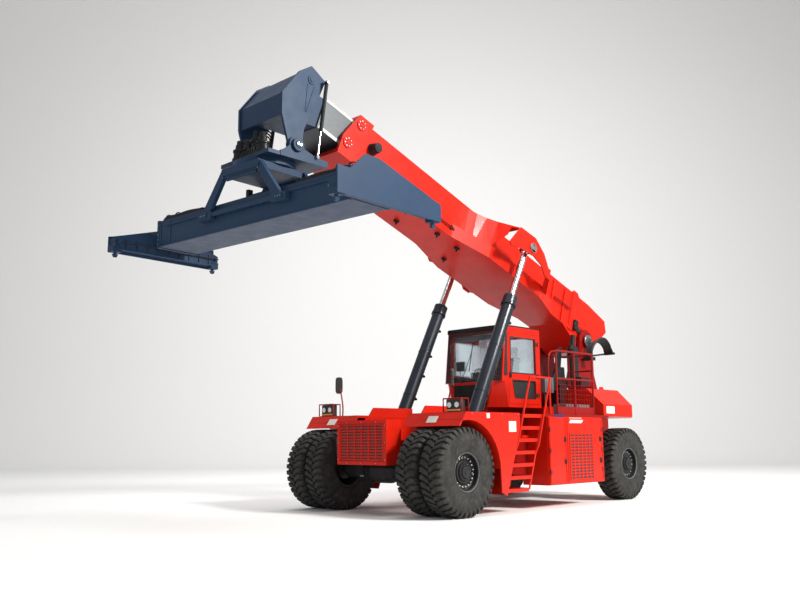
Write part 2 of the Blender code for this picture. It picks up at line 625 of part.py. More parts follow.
def make_rear_wheel(machine, name, side):
    hub_place = (REAR_AXLE_X, 0, AXLE_Z)
    kingpin = KINGPIN_Y
    knuckle = [block(-0.09, 0.09, *span(side, -0.09, 0.13), -0.14 + CLEAR, 0.14 - CLEAR),
               rod((0, side * 0.10, 0), (0, side * (REAR_TYRE_Y - kingpin + 0.04), 0), SPINDLE_RADIUS,
                   PIN_SIDES),
               rod((0, side * 0.10, 0), (0, side * 0.20, 0), 0.11, 12)]
    kingpin_hole = rod((0, 0, -0.3), (0, 0, 0.3), KINGPIN_RADIUS + RUN_GAP, PIN_SIDES)
    node("knuckle_" + name, "black", knuckle, [kingpin_hole], parent=machine,
         place=(REAR_AXLE_X, side * kingpin, AXLE_Z))
    node("rear_tyre_" + name, "rubber", [turned(tyre_profile(side * REAR_TYRE_Y), TYRE_SIDES, ring=True)],
         parent=machine, place=hub_place, smooth=30)
    seat = TYRE_WIDTH / 2 - 0.04
    outside, inside = RIM_RADIUS - GAP, RIM_RADIUS - RIM_WALL
    disc = REAR_TYRE_Y + 0.10
    bore, blind = SPINDLE_RADIUS + RUN_GAP, REAR_TYRE_Y + 0.04 + CLEAR
    profile = [(0, blind), (bore, blind), (bore, disc - 0.24), (0.15, disc - 0.24), (0.17, disc),
               (inside, disc), (inside, REAR_TYRE_Y - seat),
               (outside, REAR_TYRE_Y - seat), (outside, REAR_TYRE_Y + seat), (inside, REAR_TYRE_Y + seat),
               (inside, disc + 0.03), (0.15, disc + 0.03), (0.12, disc + 0.11), (0, disc + 0.11)]
    body = turned([(r, side * y) for r, y in profile], TYRE_SIDES)
    node("rear_rim_" + name, "black", [body], parent=machine, place=hub_place, smooth=30)


# ------------------------------------------------------------------ cab
def cab_body(inset):
    """The cab's envelope: side outline pushed across, with the cowl's corners cut away."""
    top, floor = CAB_TOP - inset, CAB_FLOOR + inset
    front, shelf = CAB_COWL[0] - inset, CAB_COWL[1] - inset
    half = CAB_HALF_WIDTH - inset
    outline = [(CAB_REAR + inset, floor), (front, floor), (front, shelf), (CAB_FRONT - inset, shelf + 0.02),
               (CAB_FRONT_TOP - inset, top), (CAB_REAR + inset, top)]
    body = prism(outline, -half, half)
    corners = []
    for _, side in SIDES:
        rows = []
        for z, along, across in ((CAB_FLOOR - 0.05, CAB_CORNER[0][0], CAB_CORNER[1][0]),
                                 (CAB_COWL[1] + 0.01, CAB_CORNER[0][1], CAB_CORNER[1][1])):
            rows.append([(front - along, side * (half + 0.001), z),
                         (front + 0.001, side * (half - across), z),
                         (front + 0.1, side * (half + 0.1), z)])
        corners.append(loft(rows))
    return combine(body, corners, "DIFFERENCE")


def make_cab(machine):
    half = CAB_HALF_WIDTH
    shell = cab_body(0)
    hollow = cab_body(CAB_WALL)
    doorway = block(CAB_DOOR_REAR, CAB_DOOR_FRONT, -half - 0.1, half + 0.1, CAB_DOOR_BOTTOM, CAB_DOOR_TOP)
    screen_low, screen_high = CAB_COWL[1] + 0.05, CAB_TOP - 0.12
    windscreen = block(CAB_FRONT_TOP - 0.12, CAB_FRONT + 0.2, -half + 0.07, half - 0.07, screen_low,
                       screen_high)
    rear_window = block(CAB_REAR - 0.1, CAB_REAR + 0.10, -half + 0.10, half - 0.10, 2.75, CAB_TOP - 0.16)
    plinth = block(ENGINE_FRONT + 0.03, CAB_COWL[0] - 0.10, -0.40, 0.40, FRAME_TOP + GAP, CAB_FLOOR + 0.02)
    node("cab_shell", "orange", [shell, plinth], [hollow, doorway, windscreen, rear_window], parent=machine)

    slope = (CAB_FRONT - CAB_FRONT_TOP) / (CAB_TOP - CAB_COWL[1])
    low, high = screen_low + GAP, screen_high - GAP
    pane = []
    for depth, z in ((0.030, low), (0.030 - CAB_GLASS, low), (0.030 - CAB_GLASS, high), (0.030, high)):
        pane.append((CAB_FRONT - slope * (z - CAB_COWL[1]) - depth, z))
    node("windscreen", "glass", [prism(pane, -half + 0.07 + GAP, half - 0.07 - GAP)], parent=machine)
    node("rear_window", "glass", [block(CAB_REAR + 0.02, CAB_REAR + 0.02 + CAB_GLASS, -half + 0.10 + GAP,
                                        half - 0.10 - GAP, 2.75 + GAP, CAB_TOP - 0.16 - GAP)], parent=machine)


def make_cab_door(machine, name, side):
    """A framed leaf hinged at its rear edge, with an upper and a lower window."""
    edge = 0.006
    length = CAB_DOOR_FRONT - CAB_DOOR_REAR - RUN_GAP - edge
    low, high = CAB_DOOR_BOTTOM + edge, CAB_DOOR_TOP - edge
    y0, y1 = span(side, -0.045, 0.0)
    leaf = block(0.0, length, y0, y1, low, high)
    waist = 2.76
    upper = prism([(0.10, waist + 0.06), (length - 0.08, waist + 0.06), (length - 0.08, high - 0.10),
                   (0.10, high - 0.10)], -0.2, 0.2)
    lower = prism([(0.12, low + 0.14), (length - 0.22, low + 0.14), (length - 0.14, waist - 0.12),
                   (0.12, waist - 0.12)], -0.2, 0.2)
    place = (CAB_DOOR_REAR + RUN_GAP, side * CAB_HALF_WIDTH, 0)
    node("cab_door_" + name, "orange", [leaf], [upper, lower], parent=machine, place=place)
    pane_y = span(side, -0.045 - GAP - CAB_GLASS, -0.045 - GAP)
    node("cab_door_glass_" + name, "glass", [block(0.07, length - 0.05, *pane_y, low + 0.11, high - 0.07)],
         parent=machine, place=place)


def make_cab_interior(machine):
    floor = CAB_FLOOR + CAB_WALL + GAP
    seat_x = -3.66
    seat = [block(seat_x - 0.18, seat_x + 0.18, -0.17, 0.17, floor, floor + 0.34),
            block(seat_x - 0.26, seat_x + 0.28, -0.27, 0.27, floor + 0.33, floor + 0.46),
            prism([(seat_x - 0.26, floor + 0.44), (seat_x - 0.14, floor + 0.44),
                   (seat_x - 0.24, floor + 1.12),
                   (seat_x - 0.36, floor + 1.12)], -0.25, 0.25)]
    node("operator_seat", "black", seat, parent=machine)
    wheel_centre = Vector((-3.10, 0, floor + 0.70))
    tilt = Vector((cos(radians(125)), 0, sin(radians(125))))
    foot = Vector((-2.88, 0, floor + 0.06))
    wheel = turned([(0.155, -0.012), (0.185, -0.012), (0.185, 0.012), (0.155, 0.012)], 24, ring=True)
    wheel.data.transform(Matrix.Translation(wheel_centre) @ tilt.to_track_quat("Y", "Z").to_matrix().to_4x4())
    bars = [rod(wheel_centre + Vector((0, -0.165, 0)), wheel_centre + Vector((0, 0.165, 0)), 0.012, 8)]
    column = [rod(foot, wheel_centre, 0.035, 12),
              block(foot.x - 0.10, foot.x + 0.10, -0.12, 0.12, floor, floor + 0.12)]
    node("steering_column", "black", column + bars + [wheel], parent=machine)


def make_fender_lights(machine, name, side):
    """Lamp guard and mirror stalk on the front corner of a fender."""
    deck = DECK_TOP - 0.001 + GAP
    lamp_x, lamp_y, pole_x, pole_y = FENDER_NOSE - 0.16, side * 1.74, FENDER_NOSE - 0.28, side * 1.47
    solids = [block(pole_x - 0.06, lamp_x + 0.12, *sorted((pole_y - side * 0.06, lamp_y + side * 0.20)),
                    deck, deck + 0.012)]
    solids.append(rod((pole_x, pole_y, deck + 0.005), (pole_x, pole_y, deck + 0.72), 0.018, 8))
    solids.append(block(pole_x - 0.035, pole_x + 0.03,
                        *sorted((pole_y - side * 0.01, pole_y + side * 0.20)), deck + 0.46, deck + 0.82))
    solids.append(block(lamp_x - 0.05, lamp_x + 0.08, lamp_y - 0.17, lamp_y + 0.17, deck + 0.01, deck + 0.24))
    node("lamp_and_mirror_" + name, "black", solids, parent=machine)


# ------------------------------------------------------------------ boom
def shoulder_edge(along, top):
    """Half width of the shoulder at a place along the boom, on its top edge or its bottom edge."""
    share = (SHOULDER_FRONT - along) / (SHOULDER_FRONT - SHOULDER_APEX)
    share = min(max(share, 0.0), 1.0)
    if top:
        return BOOM_HALF_WIDTH + (SHOULDER_Y - BOOM_HALF_WIDTH) * share ** 2.6
    return BOOM_HALF_WIDTH + (BELLY_HALF_WIDTH - BOOM_HALF_WIDTH) * share * share * (3 - 2 * share)


def shoulder_body(side, inset, front, rear):
    """The flared body that carries the lift pin, from front to rear along the boom."""
    steps = 7
    sections = []
    root = BOOM_HALF_WIDTH - 0.02
    for i in range(steps + 1):
        along = front + (rear - front) * i / steps
        top_y = max(shoulder_edge(along, True) - inset, root + 0.01)
        low_y = max(shoulder_edge(along, False) - inset, root + 0.01)
        low_v, top_v = BOOM_BOTTOM + inset, BOOM_TOP - 0.03 - inset
        sections.append([(along, side * root, low_v), (along, side * low_y, low_v),
                         (along, side * top_y, top_v),
                         (along, side * root, top_v)])
    return loft(sections)


def make_outer_boom(boom):
    half, low, top, wall = BOOM_HALF_WIDTH, BOOM_BOTTOM, BOOM_TOP, BOOM_WALL
    nose = BOOM_LENGTH
    outline = [(nose - 0.05, low), (nose - 0.30, top), (0.0, top + 0.04), (-0.84, 0.96), (-BOOM_TAIL, 0.70),
               (-0.76, 0.41), (-0.30, -0.22), (0.10, -0.30), (0.46, -0.10), (0.95, low)]
    solids = [prism(outline, -half, half)]
    collar = [(nose - 0.52, low - 0.06), (nose, low - 0.06), (nose - 0.02, 0.45), (nose - 0.28, top + 0.07),
              (nose - 0.66, top + 0.07)]
    solids.append(prism(collar, -half - 0.035, half + 0.035))
    solids.append(prism([(0.55, low - 0.04), (0.72, low - 0.04), (0.72, top + 0.06), (0.55, top + 0.06)],
                        -half - 0.03,
                        half + 0.03))
    # wide belly plate between the shoulders
    belly = [(5.45, half - 0.02), (SHOULDER_APEX + 0.35, BELLY_HALF_WIDTH), (2.35, BELLY_HALF_WIDTH),
             (1.35, half - 0.02)]
    for _, side in SIDES:
        solids.append(prism([(u, side * y) for u, y in belly], low, low + 0.30, axis="z"))
    solids.append(rod((0, -half - 0.035, 0), (0, half + 0.035, 0), 0.26, 24))
    cuts = [prism([(1.0, low + wall), (nose + 0.1, low + wall), (nose + 0.1, top - wall), (1.0, top - wall)],
                  -half + wall, half - wall)]
    cuts.append(rod((0, -1, 0), (0, 1, 0), BOOM_PIN_RADIUS + RUN_GAP, 32))
    for _, side in SIDES:
        flare = shoulder_body(side, 0.0, SHOULDER_FRONT, SHOULDER_APEX - 0.05)
        pocket = shoulder_body(side, SHOULDER_PLATE, SHOULDER_FRONT - 0.12, SHOULDER_APEX - 0.2)
        # the rear of the flare is cut back from the belly's edge up to the apex
        rake = prism([(SHOULDER_APEX - 0.4, 0.0), (SHOULDER_APEX + 0.47, 0.0),
                      (SHOULDER_APEX + 0.47, low + 0.12),
                      (SHOULDER_APEX + 0.01, BOOM_TOP - 0.05), (SHOULDER_APEX - 0.4, BOOM_TOP - 0.05)],
                     *span(side, half + 0.0005, SHOULDER_Y + 0.2))
        solids.append(combine(flare, [pocket, rake], "DIFFERENCE"))
        cheek = [(SHOULDER_APEX + 0.02, BOOM_TOP - 0.035), (SHOULDER_APEX - 0.55, BOOM_TOP - 0.005),
                 (SHOULDER_APEX - 0.95, 0.80), (2.70, 0.50), (2.62, 0.32), (2.84, 0.32), (3.02, 0.50),
                 (3.35, 0.565), (3.85, 0.50), (4.16, 0.40), (4.24, 0.46)]
        solids.append(prism(cheek, *span(side, SHOULDER_Y - SHOULDER_PLATE, SHOULDER_Y)))
        # rear wall of the shoulder, from the cheek back to the boom's side
        back = [(2.80, SHOULDER_Y - 0.002), (2.66, SHOULDER_Y - 0.002), (1.75, half - 0.02),
                (1.97, half - 0.02)]
        solids.append(prism([(u, side * y) for u, y in back], 0.34, 0.56, axis="z"))
        solids.append(rod((LIFT_PIN[0], side * (SHOULDER_Y - 0.005), LIFT_PIN[1]),
                          (LIFT_PIN[0], side * (SHOULDER_Y + 0.03), LIFT_PIN[1]), 0.10, 12))
    node_body = combine(solids[0], solids[1:], "UNION")
    node_body = combine(node_body, cuts, "DIFFERENCE")
    # slide pads under and over the inner boom
    pads = []
    for u in (nose - 0.62, 5.6):
        for y in (-0.30, 0.30):
            pads.append(block(u, u + 0.34, y - 0.07, y + 0.07, low + wall - 0.005, INNER_BOTTOM - RUN_GAP))
            pads.append(block(u, u + 0.34, y - 0.07, y + 0.07, INNER_TOP + RUN_GAP, top - wall + 0.005))
    node("outer_boom", "orange", [node_body] + pads, parent=boom)


def make_inner_boom(boom):
    half, wall = INNER_HALF_WIDTH, INNER_WALL
    outer = block(INNER_REAR, INNER_FRONT, -half, half, INNER_BOTTOM, INNER_TOP)
    inside = block(INNER_REAR - 0.1, INNER_FRONT - 0.05, -half + wall, half - wall, INNER_BOTTOM + wall,
                   INNER_TOP - wall)
    node("inner_boom", "web", [outer], [inside], parent=boom)


def make_head(machine):
    """Gooseneck at the end of the inner boom, laid out from the hinge pin."""
    px, pz = HEAD_PIN
    plate = [(0.30, 0.53), (0.30, 0.93), (-0.10, 1.44), (-0.37, 1.61), (-0.70, 1.40), (-0.50, 0.95),
             (-0.20, 0.36)]
    plate = plate + arc((0, 0), 0.17, 160, 380, 10)
    solids = []
    for _, side in SIDES:
        solids.append(prism(plate, *span(side, HEAD_PLATE_Y, HEAD_PLATE_Y + HEAD_PLATE)))
        solids.append(rod((0, side * (HEAD_PLATE_Y - 0.05), 0),
                          (0, side * (HEAD_PLATE_Y + HEAD_PLATE + YOKE_EAR + 0.035), 0), 0.075, 32))
    skirt = HEAD_PLATE_Y + 0.01
    nose = [(0.27, 0.53), (0.27, 0.93), (-0.12, 1.42), (-0.37, 1.575), (-0.37, 1.525), (-0.15, 1.385),
            (0.22, 0.91), (0.22, 0.53)]
    solids.append(prism(nose, -skirt, skirt))
    # gusset box from the nose back onto the end of the inner boom
    end = [on_boom(INNER_FRONT - 0.02, v) for v in (INNER_BOTTOM + 0.02, INNER_TOP - 0.02)]
    low, high = [(x - px, z - pz) for x, z in end]
    box = [low, (0.0, 0.62), (0.23, 0.62), (0.23, 0.86), (-0.18, 1.36), high]
    solids.append(prism(box, -INNER_HALF_WIDTH + 0.04, INNER_HALF_WIDTH - 0.04))
    for _, side in SIDES:
        tie = [(-0.58, 1.20), (-0.30, 0.70), (-0.02, 0.70), (-0.18, 1.36), (-0.42, 1.42)]
        solids.append(prism(tie, *span(side, INNER_HALF_WIDTH - 0.06, HEAD_PLATE_Y + 0.02)))
        dx, dz = DAMPER_TOP[0] - px, DAMPER_TOP[1] - pz
        solids.append(rod((dx, side * (HEAD_PLATE_Y + 0.02), dz),
                          (dx, side * (HEAD_PLATE_Y + HEAD_PLATE + YOKE_EAR + 0.06), dz),
                          0.016, 12))
    boom_end = prism([on_boom(u, v) for u,
                      v in ((INNER_FRONT + GAP, -1.0), (INNER_FRONT + GAP, 2.0), (5.0, 2.0),
                            (5.0, -1.0))],
                     -INNER_HALF_WIDTH - 0.02, INNER_HALF_WIDTH + 0.02)
    boom_end.data.transform(Matrix.Translation((-px, 0, -pz)))
    node("boom_head", "slate", solids, [boom_end], parent=machine, place=(px, 0, pz))


# ------------------------------------------------------------------ cylinders
def cylinder_axes():
    """Length and direction of the lift cylinders with the boom as it stands."""
    x, z = on_boom(*LIFT_PIN)
    dx, dz = x - LIFT_BASE[0], z - LIFT_BASE[1]
    return hypot(dx, dz), atan2(dz, dx)


def make_lift_cylinder(machine, name, side):
    length, angle = cylinder_axes()
    foot = empty("lift_foot_" + name, (LIFT_BASE[0], side * LIFT_Y, LIFT_BASE[1]), machine, (0, -angle, 0))
    radius, rod_radius = LIFT_BARREL_RADIUS, LIFT_ROD_RADIUS
    bore, gland = rod_radius + RUN_GAP, radius + 0.015
    profile = [(0, 0.30), (bore, 0.30), (bore, LIFT_BARREL), (gland, LIFT_BARREL),
               (gland, LIFT_BARREL - 0.18),
               (radius, LIFT_BARREL - 0.18), (radius, 0.17), (0.085, 0.17), (0.085, 0.05), (0, 0.05)]
    barrel = [along_x(turned(profile, 24)), rod((0, -0.09, 0), (0, 0.09, 0), 0.12, 24)]
    eye = rod((0, -0.2, 0), (0, 0.2, 0), LIFT_FOOT_PIN + RUN_GAP, PIN_SIDES)
    node("lift_barrel_" + name, "slate", barrel, [eye], parent=foot, smooth=30)
    stem = [rod((LIFT_ROD_START, 0, 0), (length - 0.05, 0, 0), rod_radius, 20),
            rod((length, -0.085, 0), (length, 0.085, 0), LIFT_EYE_RADIUS, 22)]
    node("lift_rod_" + name, "chrome", stem, parent=foot, smooth=30)


def make_damper(machine, name, side):
    top, foot = Vector((DAMPER_TOP[0], 0, DAMPER_TOP[1])), Vector((DAMPER_FOOT[0], 0, DAMPER_FOOT[1]))
    run = foot - top
    length = run.length
    y = side * (HEAD_PLATE_Y + HEAD_PLATE + YOKE_EAR + 0.027)
    hang = empty("damper_top_" + name, (top.x, y, top.z), machine, (0, atan2(-run.z, run.x), 0))
    bore = DAMPER_ROD_RADIUS + RUN_GAP
    profile = [(0, 0.10), (bore, 0.10), (bore, DAMPER_BARREL), (DAMPER_RADIUS, DAMPER_BARREL),
               (DAMPER_RADIUS, 0.03),
               (0, 0.03)]
    barrel = [along_x(turned(profile, 16)), rod((0, -0.025, 0), (0, 0.025, 0), 0.038, 16)]
    pin = rod((0, -0.2, 0), (0, 0.2, 0), 0.016 + RUN_GAP, 12)
    node("damper_barrel_" + name, "black", barrel, [pin], parent=hang, smooth=30)
    stem = [rod((0.50, 0, 0), (length - 0.02, 0, 0), DAMPER_ROD_RADIUS, 16),
            rod((length, -0.02, 0), (length, 0.02, 0), 0.034, 16)]
    node("damper_rod_" + name, "chrome", stem, parent=hang, smooth=30)


# ------------------------------------------------------------------ spreader
def make_yoke(machine):
    """Ears on the head's hinge pin and the plate that the slewing ring hangs from."""
    px, pz = HEAD_PIN
    inner = HEAD_PLATE_Y + HEAD_PLATE + CLEAR
    outer = inner + YOKE_EAR - CLEAR
    base_top, base_low = -0.17, -0.26
    ear = [(-0.72, base_low), (0.36, base_low), (0.36, base_top), (0.24, -0.10)] + arc((0, 0), 0.165,
                                                                                       -10, 190, 10) + [
        (-0.40, -0.11), (-0.72, -0.15)]
    solids, cuts = [], []
    for _, side in SIDES:
        solids.append(prism(ear, *span(side, inner, outer)))
        cuts.append(rod((0, side * (inner - 0.1), 0), (0, side * (outer + 0.1), 0), 0.075 + RUN_GAP, 32))
    solids.append(block(-0.70, 0.62, -outer + 0.01, outer - 0.01, base_low, base_top - 0.02))
    ring_x = SPREADER_X - px
    ring = turned([(0, base_low - 0.10), (RING_RADIUS, base_low - 0.10), (RING_RADIUS, base_low + 0.01),
                   (0, base_low + 0.01)], 32)
    ring.data.transform(Matrix.Translation((ring_x, 0, 0)) @ Matrix.Rotation(pi / 2, 4, "X"))
    solids.append(ring)
    node("spreader_yoke", "slate", solids, cuts, parent=machine, place=(px, 0, pz))


def make_spreader(machine):
    centre = empty("spreader_centre", (SPREADER_X, 0, 0), machine, (0, 0, SPREADER_YAW))
    ring_low = HEAD_PIN[1] - 0.36
    half = BEAM_HALF_WIDTH
    # carriage: turntable on top, four legs down the faces of the main beam
    table_top = ring_low - RUN_GAP
    face = half + CLEAR
    table = [block(-face - 0.13, face + 0.13, -0.50, 0.50, table_top - 0.13, table_top)]
    foot_low = RAIL_BAR[0] - 0.12
    for end in (-1, 1):
        leg_x = sorted((end * (face + RAIL_BAR_DEPTH), end * (face + RAIL_BAR_DEPTH + 0.08)))
        foot_x = sorted((end * face, end * (face + RAIL_BAR_DEPTH + 0.078)))
        for _, side in SIDES:
            leg = [(side * 0.36, table_top - 0.02), (side * 0.52, table_top - 0.02), (side * 1.14, foot_low),
                   (side * 0.92, foot_low)]
            table.append(prism(leg, *leg_x, axis="x"))
            table.append(block(*foot_x, *span(side, 0.80, 1.18), foot_low - 0.01, RAIL_BAR[0] - RUN_GAP))
    node("slewing_carriage", "slate", table, parent=centre)

    middle = 0.0125
    beam = block(-half, half, -BEAM_HALF_LENGTH, BEAM_HALF_LENGTH, BEAM_BOTTOM, BEAM_TOP)
    rails = [block(*sorted((end * (half - 0.01), end * (half + RAIL_BAR_DEPTH))), -BEAM_HALF_LENGTH + 0.25,
                   BEAM_HALF_LENGTH - 0.25, *RAIL_BAR) for end in (-1, 1)]
    wall = BEAM_WALL
    tunnels = [block(*sorted((end * middle, end * (half - wall))), -BEAM_HALF_LENGTH - 0.1,
                     BEAM_HALF_LENGTH + 0.1,
                     BEAM_BOTTOM + wall, BEAM_TOP - wall) for end in (-1, 1)]
    node("spreader_beam", "slate", [beam] + rails, tunnels, parent=centre)

    for name, side in SIDES:
        make_extension(centre, name, side)


def make_extension(centre, name, side):
    """Telescopic beam with its end beam, corner boxes and twistlocks."""
    end = side                                   # the left beam runs in the front tunnel
    x0, x1 = sorted((end * (0.0125 + CLEAR), end * (BEAM_HALF_WIDTH - BEAM_WALL - CLEAR)))
    low, high = BEAM_BOTTOM + BEAM_WALL + RUN_GAP, BEAM_TOP - BEAM_WALL - CLEAR
    reach = END_OUTER_Y - 0.20
    slider = block(x0, x1, *sorted((-side * (BEAM_HALF_LENGTH - 0.12), side * (reach + 0.05))), low, high)
    hollow = block(x0 + 0.016, x1 - 0.016, *sorted((-side * BEAM_HALF_LENGTH, side * (reach - 0.3))),
                   low + 0.016,
                   high - 0.016)
    slider = combine(slider, [hollow], "DIFFERENCE")
    panel_low = LOCK_TIP + 0.10
    panel = [(END_HALF_LENGTH, panel_low), (END_HALF_LENGTH, panel_low + 0.42), (0.95, panel_low + 0.42),
             (0.62, panel_low + 0.72), (0.30, panel_low + 0.72), (-END_HALF_LENGTH + 0.10, panel_low + 0.32),
             (-END_HALF_LENGTH, panel_low + 0.30), (-END_HALF_LENGTH, panel_low)]
    # mirrored end for end on the right, so both ends show the same shape from outside
    panel = [(side * x, z) for x, z in panel]
    solids = [slider, prism(panel, *span(side, END_OUTER_Y - 0.03, END_OUTER_Y))]
    trough = [(-END_HALF_LENGTH + 0.02, panel_low + 0.05), (END_HALF_LENGTH - 0.02, panel_low + 0.05),
              (END_HALF_LENGTH - 0.02, panel_low + 0.26), (0.70, panel_low + 0.42), (-0.70, panel_low + 0.42),
              (-END_HALF_LENGTH + 0.02, panel_low + 0.26)]
    solids.append(prism(trough, *span(side, END_OUTER_Y - 0.20, END_OUTER_Y - 0.01)))
    for x in (-LOCK_HALF_WIDTH, LOCK_HALF_WIDTH):
        y = side * LOCK_HALF_LENGTH
        solids.append(block(x - 0.088, x + 0.088, y - 0.085, y + 0.085, panel_low - 0.006, panel_low + 0.10))
        solids.append(rod((x, y, LOCK_TIP + 0.055), (x, y, panel_low + 0.05), 0.030, 16))
        solids.append(loft([[(x - 0.052, y - 0.028, LOCK_TIP + 0.06), (x + 0.052, y - 0.028, LOCK_TIP + 0.06),
                             (x + 0.052, y + 0.028, LOCK_TIP + 0.06), (x - 0.052, y + 0.028,
                                                                       LOCK_TIP + 0.06)],
                            [(x - 0.030, y - 0.016, LOCK_TIP), (x + 0.030, y - 0.016, LOCK_TIP),
                             (x + 0.030, y + 0.016, LOCK_TIP), (x - 0.030, y + 0.016, LOCK_TIP)]]))
    node("extension_" + name, "slate", solids, parent=centre)


# ------------------------------------------------------------------ the machine
def build():
    clear_scene()
    machine = empty("machine", (MACHINE_X, 0, 0))
    boom = empty("boom_line", (BOOM_PIVOT[0], 0, BOOM_PIVOT[1]), machine, (0, -BOOM_ANGLE, 0))
    make_chassis(machine)
    make_front_axle(machine)
    make_grille_box(machine)
    make_rear_axle(machine)
    make_tower(machine)
    make_counterweight(machine)
    make_engine(machine)
    make_cab(machine)
    make_cab_interior(machine)
    make_outer_boom(boom)
    make_inner_boom(boom)
    make_head(machine)
    make_yoke(machine)
    make_spreader(machine)
    make_ladder(machine)
    for name, side in SIDES:
        make_fender(machine, name, side)
        make_side_box(machine, name, side, with_doors=(side > 0))
        make_platform(machine, name, side)
        make_front_wheels(machine, name, side)
        make_rear_wheel(machine, name, side)
        make_cab_door(machine, name, side)
        make_fender_lights(machine, name, side)
        make_lift_cylinder(machine, name, side)
        make_damper(machine, name, side)


build()
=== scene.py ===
"""Look of the container reach stacker: materials, tyres, fittings, cab detail, light and camera."""
import json
import math
import random

import bmesh
import bpy
from mathutils import Matrix, Vector

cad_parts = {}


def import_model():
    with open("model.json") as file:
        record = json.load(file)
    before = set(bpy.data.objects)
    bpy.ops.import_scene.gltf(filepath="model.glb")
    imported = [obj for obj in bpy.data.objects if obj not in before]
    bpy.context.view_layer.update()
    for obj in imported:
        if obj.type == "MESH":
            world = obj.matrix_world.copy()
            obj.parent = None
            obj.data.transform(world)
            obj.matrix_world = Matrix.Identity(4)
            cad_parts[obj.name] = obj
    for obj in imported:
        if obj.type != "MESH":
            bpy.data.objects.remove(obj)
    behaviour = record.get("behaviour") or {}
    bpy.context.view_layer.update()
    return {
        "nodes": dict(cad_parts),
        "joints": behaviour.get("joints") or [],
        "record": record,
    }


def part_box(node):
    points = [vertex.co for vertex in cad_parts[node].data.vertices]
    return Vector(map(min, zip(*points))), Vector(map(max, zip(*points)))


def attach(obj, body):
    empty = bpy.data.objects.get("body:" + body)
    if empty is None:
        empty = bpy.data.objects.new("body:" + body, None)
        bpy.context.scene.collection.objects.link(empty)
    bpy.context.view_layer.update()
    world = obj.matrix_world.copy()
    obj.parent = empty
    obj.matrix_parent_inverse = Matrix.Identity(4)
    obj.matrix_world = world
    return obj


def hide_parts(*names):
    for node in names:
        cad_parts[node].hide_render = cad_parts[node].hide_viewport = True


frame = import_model()
NODES = frame["nodes"]
JOINTS = {joint["name"]: joint for joint in frame["joints"]}
SIDES = (("left", 1), ("right", -1))
random.seed(7)


# ------------------------------------------------------------------ places from the frame
def middle(node):
    """Centre of a CAD node's box."""
    low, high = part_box(node)
    return (low + high) / 2


FRONT_AXLE = middle("front_axle")
MX = FRONT_AXLE.x
AXLE_Z = Vector(JOINTS["front_wheels_left"]["pos_m"]).z
PIVOT = Vector(JOINTS["boom_lift"]["pos_m"])
ALONG = Vector(JOINTS["boom_extend"]["axis"]).normalized()
ACROSS = Vector((-ALONG.z, 0, ALONG.x))
SLEW = Vector(JOINTS["spreader_slew"]["pos_m"])
LONG = Vector(JOINTS["side_shift"]["axis"]).normalized()
WIDE = Vector((LONG.y, -LONG.x, 0))
HEAD_PIN = Vector(JOINTS["spreader_hang"]["pos_m"])


def world(x, y, z):
    """A point given from under the front axle's centre."""
    return Vector((x + MX, y, z))


def on_boom(u, y, v):
    """A point given along the boom, to the left and across it."""
    return PIVOT + ALONG * u + ACROSS * v + Vector((0, y, 0))


def on_beam(x, y, z):
    """A point of the spreader given across its beam, along it and up."""
    return Vector((SLEW.x, SLEW.y, 0)) + WIDE * x + LONG * y + Vector((0, 0, z))


def span(side, near, far):
    """Two distances from the middle on one side, the lower place first."""
    return sorted((side * near, side * far))


BOOM_AXES = (ALONG, Vector((0, 1, 0)), ACROSS)
BEAM_AXES = (WIDE, LONG, Vector((0, 0, 1)))
WORLD_AXES = (Vector((1, 0, 0)), Vector((0, 1, 0)), Vector((0, 0, 1)))


# ------------------------------------------------------------------ materials
def nodes_of(name):
    """A new material with its node tree and its main shader."""
    material = bpy.data.materials.new(name)
    material.use_nodes = True
    tree = material.node_tree
    return material, tree, tree.nodes["Principled BSDF"]


def noise(tree, scale, detail=4.0, stretch=None):
    """Noise in the piece's own metres, stretched along an axis where asked."""
    place = tree.nodes.new("ShaderNodeTexCoord")
    texture = tree.nodes.new("ShaderNodeTexNoise")
    texture.inputs["Scale"].default_value = scale
    texture.inputs["Detail"].default_value = detail
    source = place.outputs["Object"]
    if stretch:
        mapping = tree.nodes.new("ShaderNodeMapping")
        mapping.inputs["Scale"].default_value = stretch
        tree.links.new(source, mapping.inputs["Vector"])
        source = mapping.outputs["Vector"]
    tree.links.new(source, texture.inputs["Vector"])
    return texture.outputs["Fac"]


def ramp(tree, source, low, high, start=0.3, end=0.7):
    """Two colours or greys with the change between start and end."""
    node = tree.nodes.new("ShaderNodeValToRGB")
    node.color_ramp.elements[0].position = start
    node.color_ramp.elements[1].position = end
    node.color_ramp.elements[0].color = low
    node.color_ramp.elements[1].color = high
    tree.links.new(source, node.inputs["Fac"])
    return node.outputs["Color"]


def blended(tree, factor, first, second):
    """One colour laid over another by a factor."""
    node = tree.nodes.new("ShaderNodeMix")
    node.data_type = "RGBA"
    tree.links.new(factor, node.inputs["Factor"])
    for socket, value in (("A", first), ("B", second)):
        target = [item for item in node.inputs if item.name == socket and item.type == "RGBA"][0]
        if isinstance(value, tuple):
            target.default_value = value
        else:
            tree.links.new(value, target)
    return [item for item in node.outputs if item.type == "RGBA"][0]


def bump(tree, shader, height, strength, distance, round_edges=0.0):
    """Surface relief, with edges that catch the light as rounded ones do."""
    node = tree.nodes.new("ShaderNodeBump")
    node.inputs["Strength"].default_value = strength
    node.inputs["Distance"].default_value = distance
    tree.links.new(height, node.inputs["Height"])
    if round_edges:
        edge = tree.nodes.new("ShaderNodeBevel")
        edge.samples = 4
        edge.inputs["Radius"].default_value = round_edges
        tree.links.new(edge.outputs["Normal"], node.inputs["Normal"])
    tree.links.new(node.outputs["Normal"], shader.inputs["Normal"])


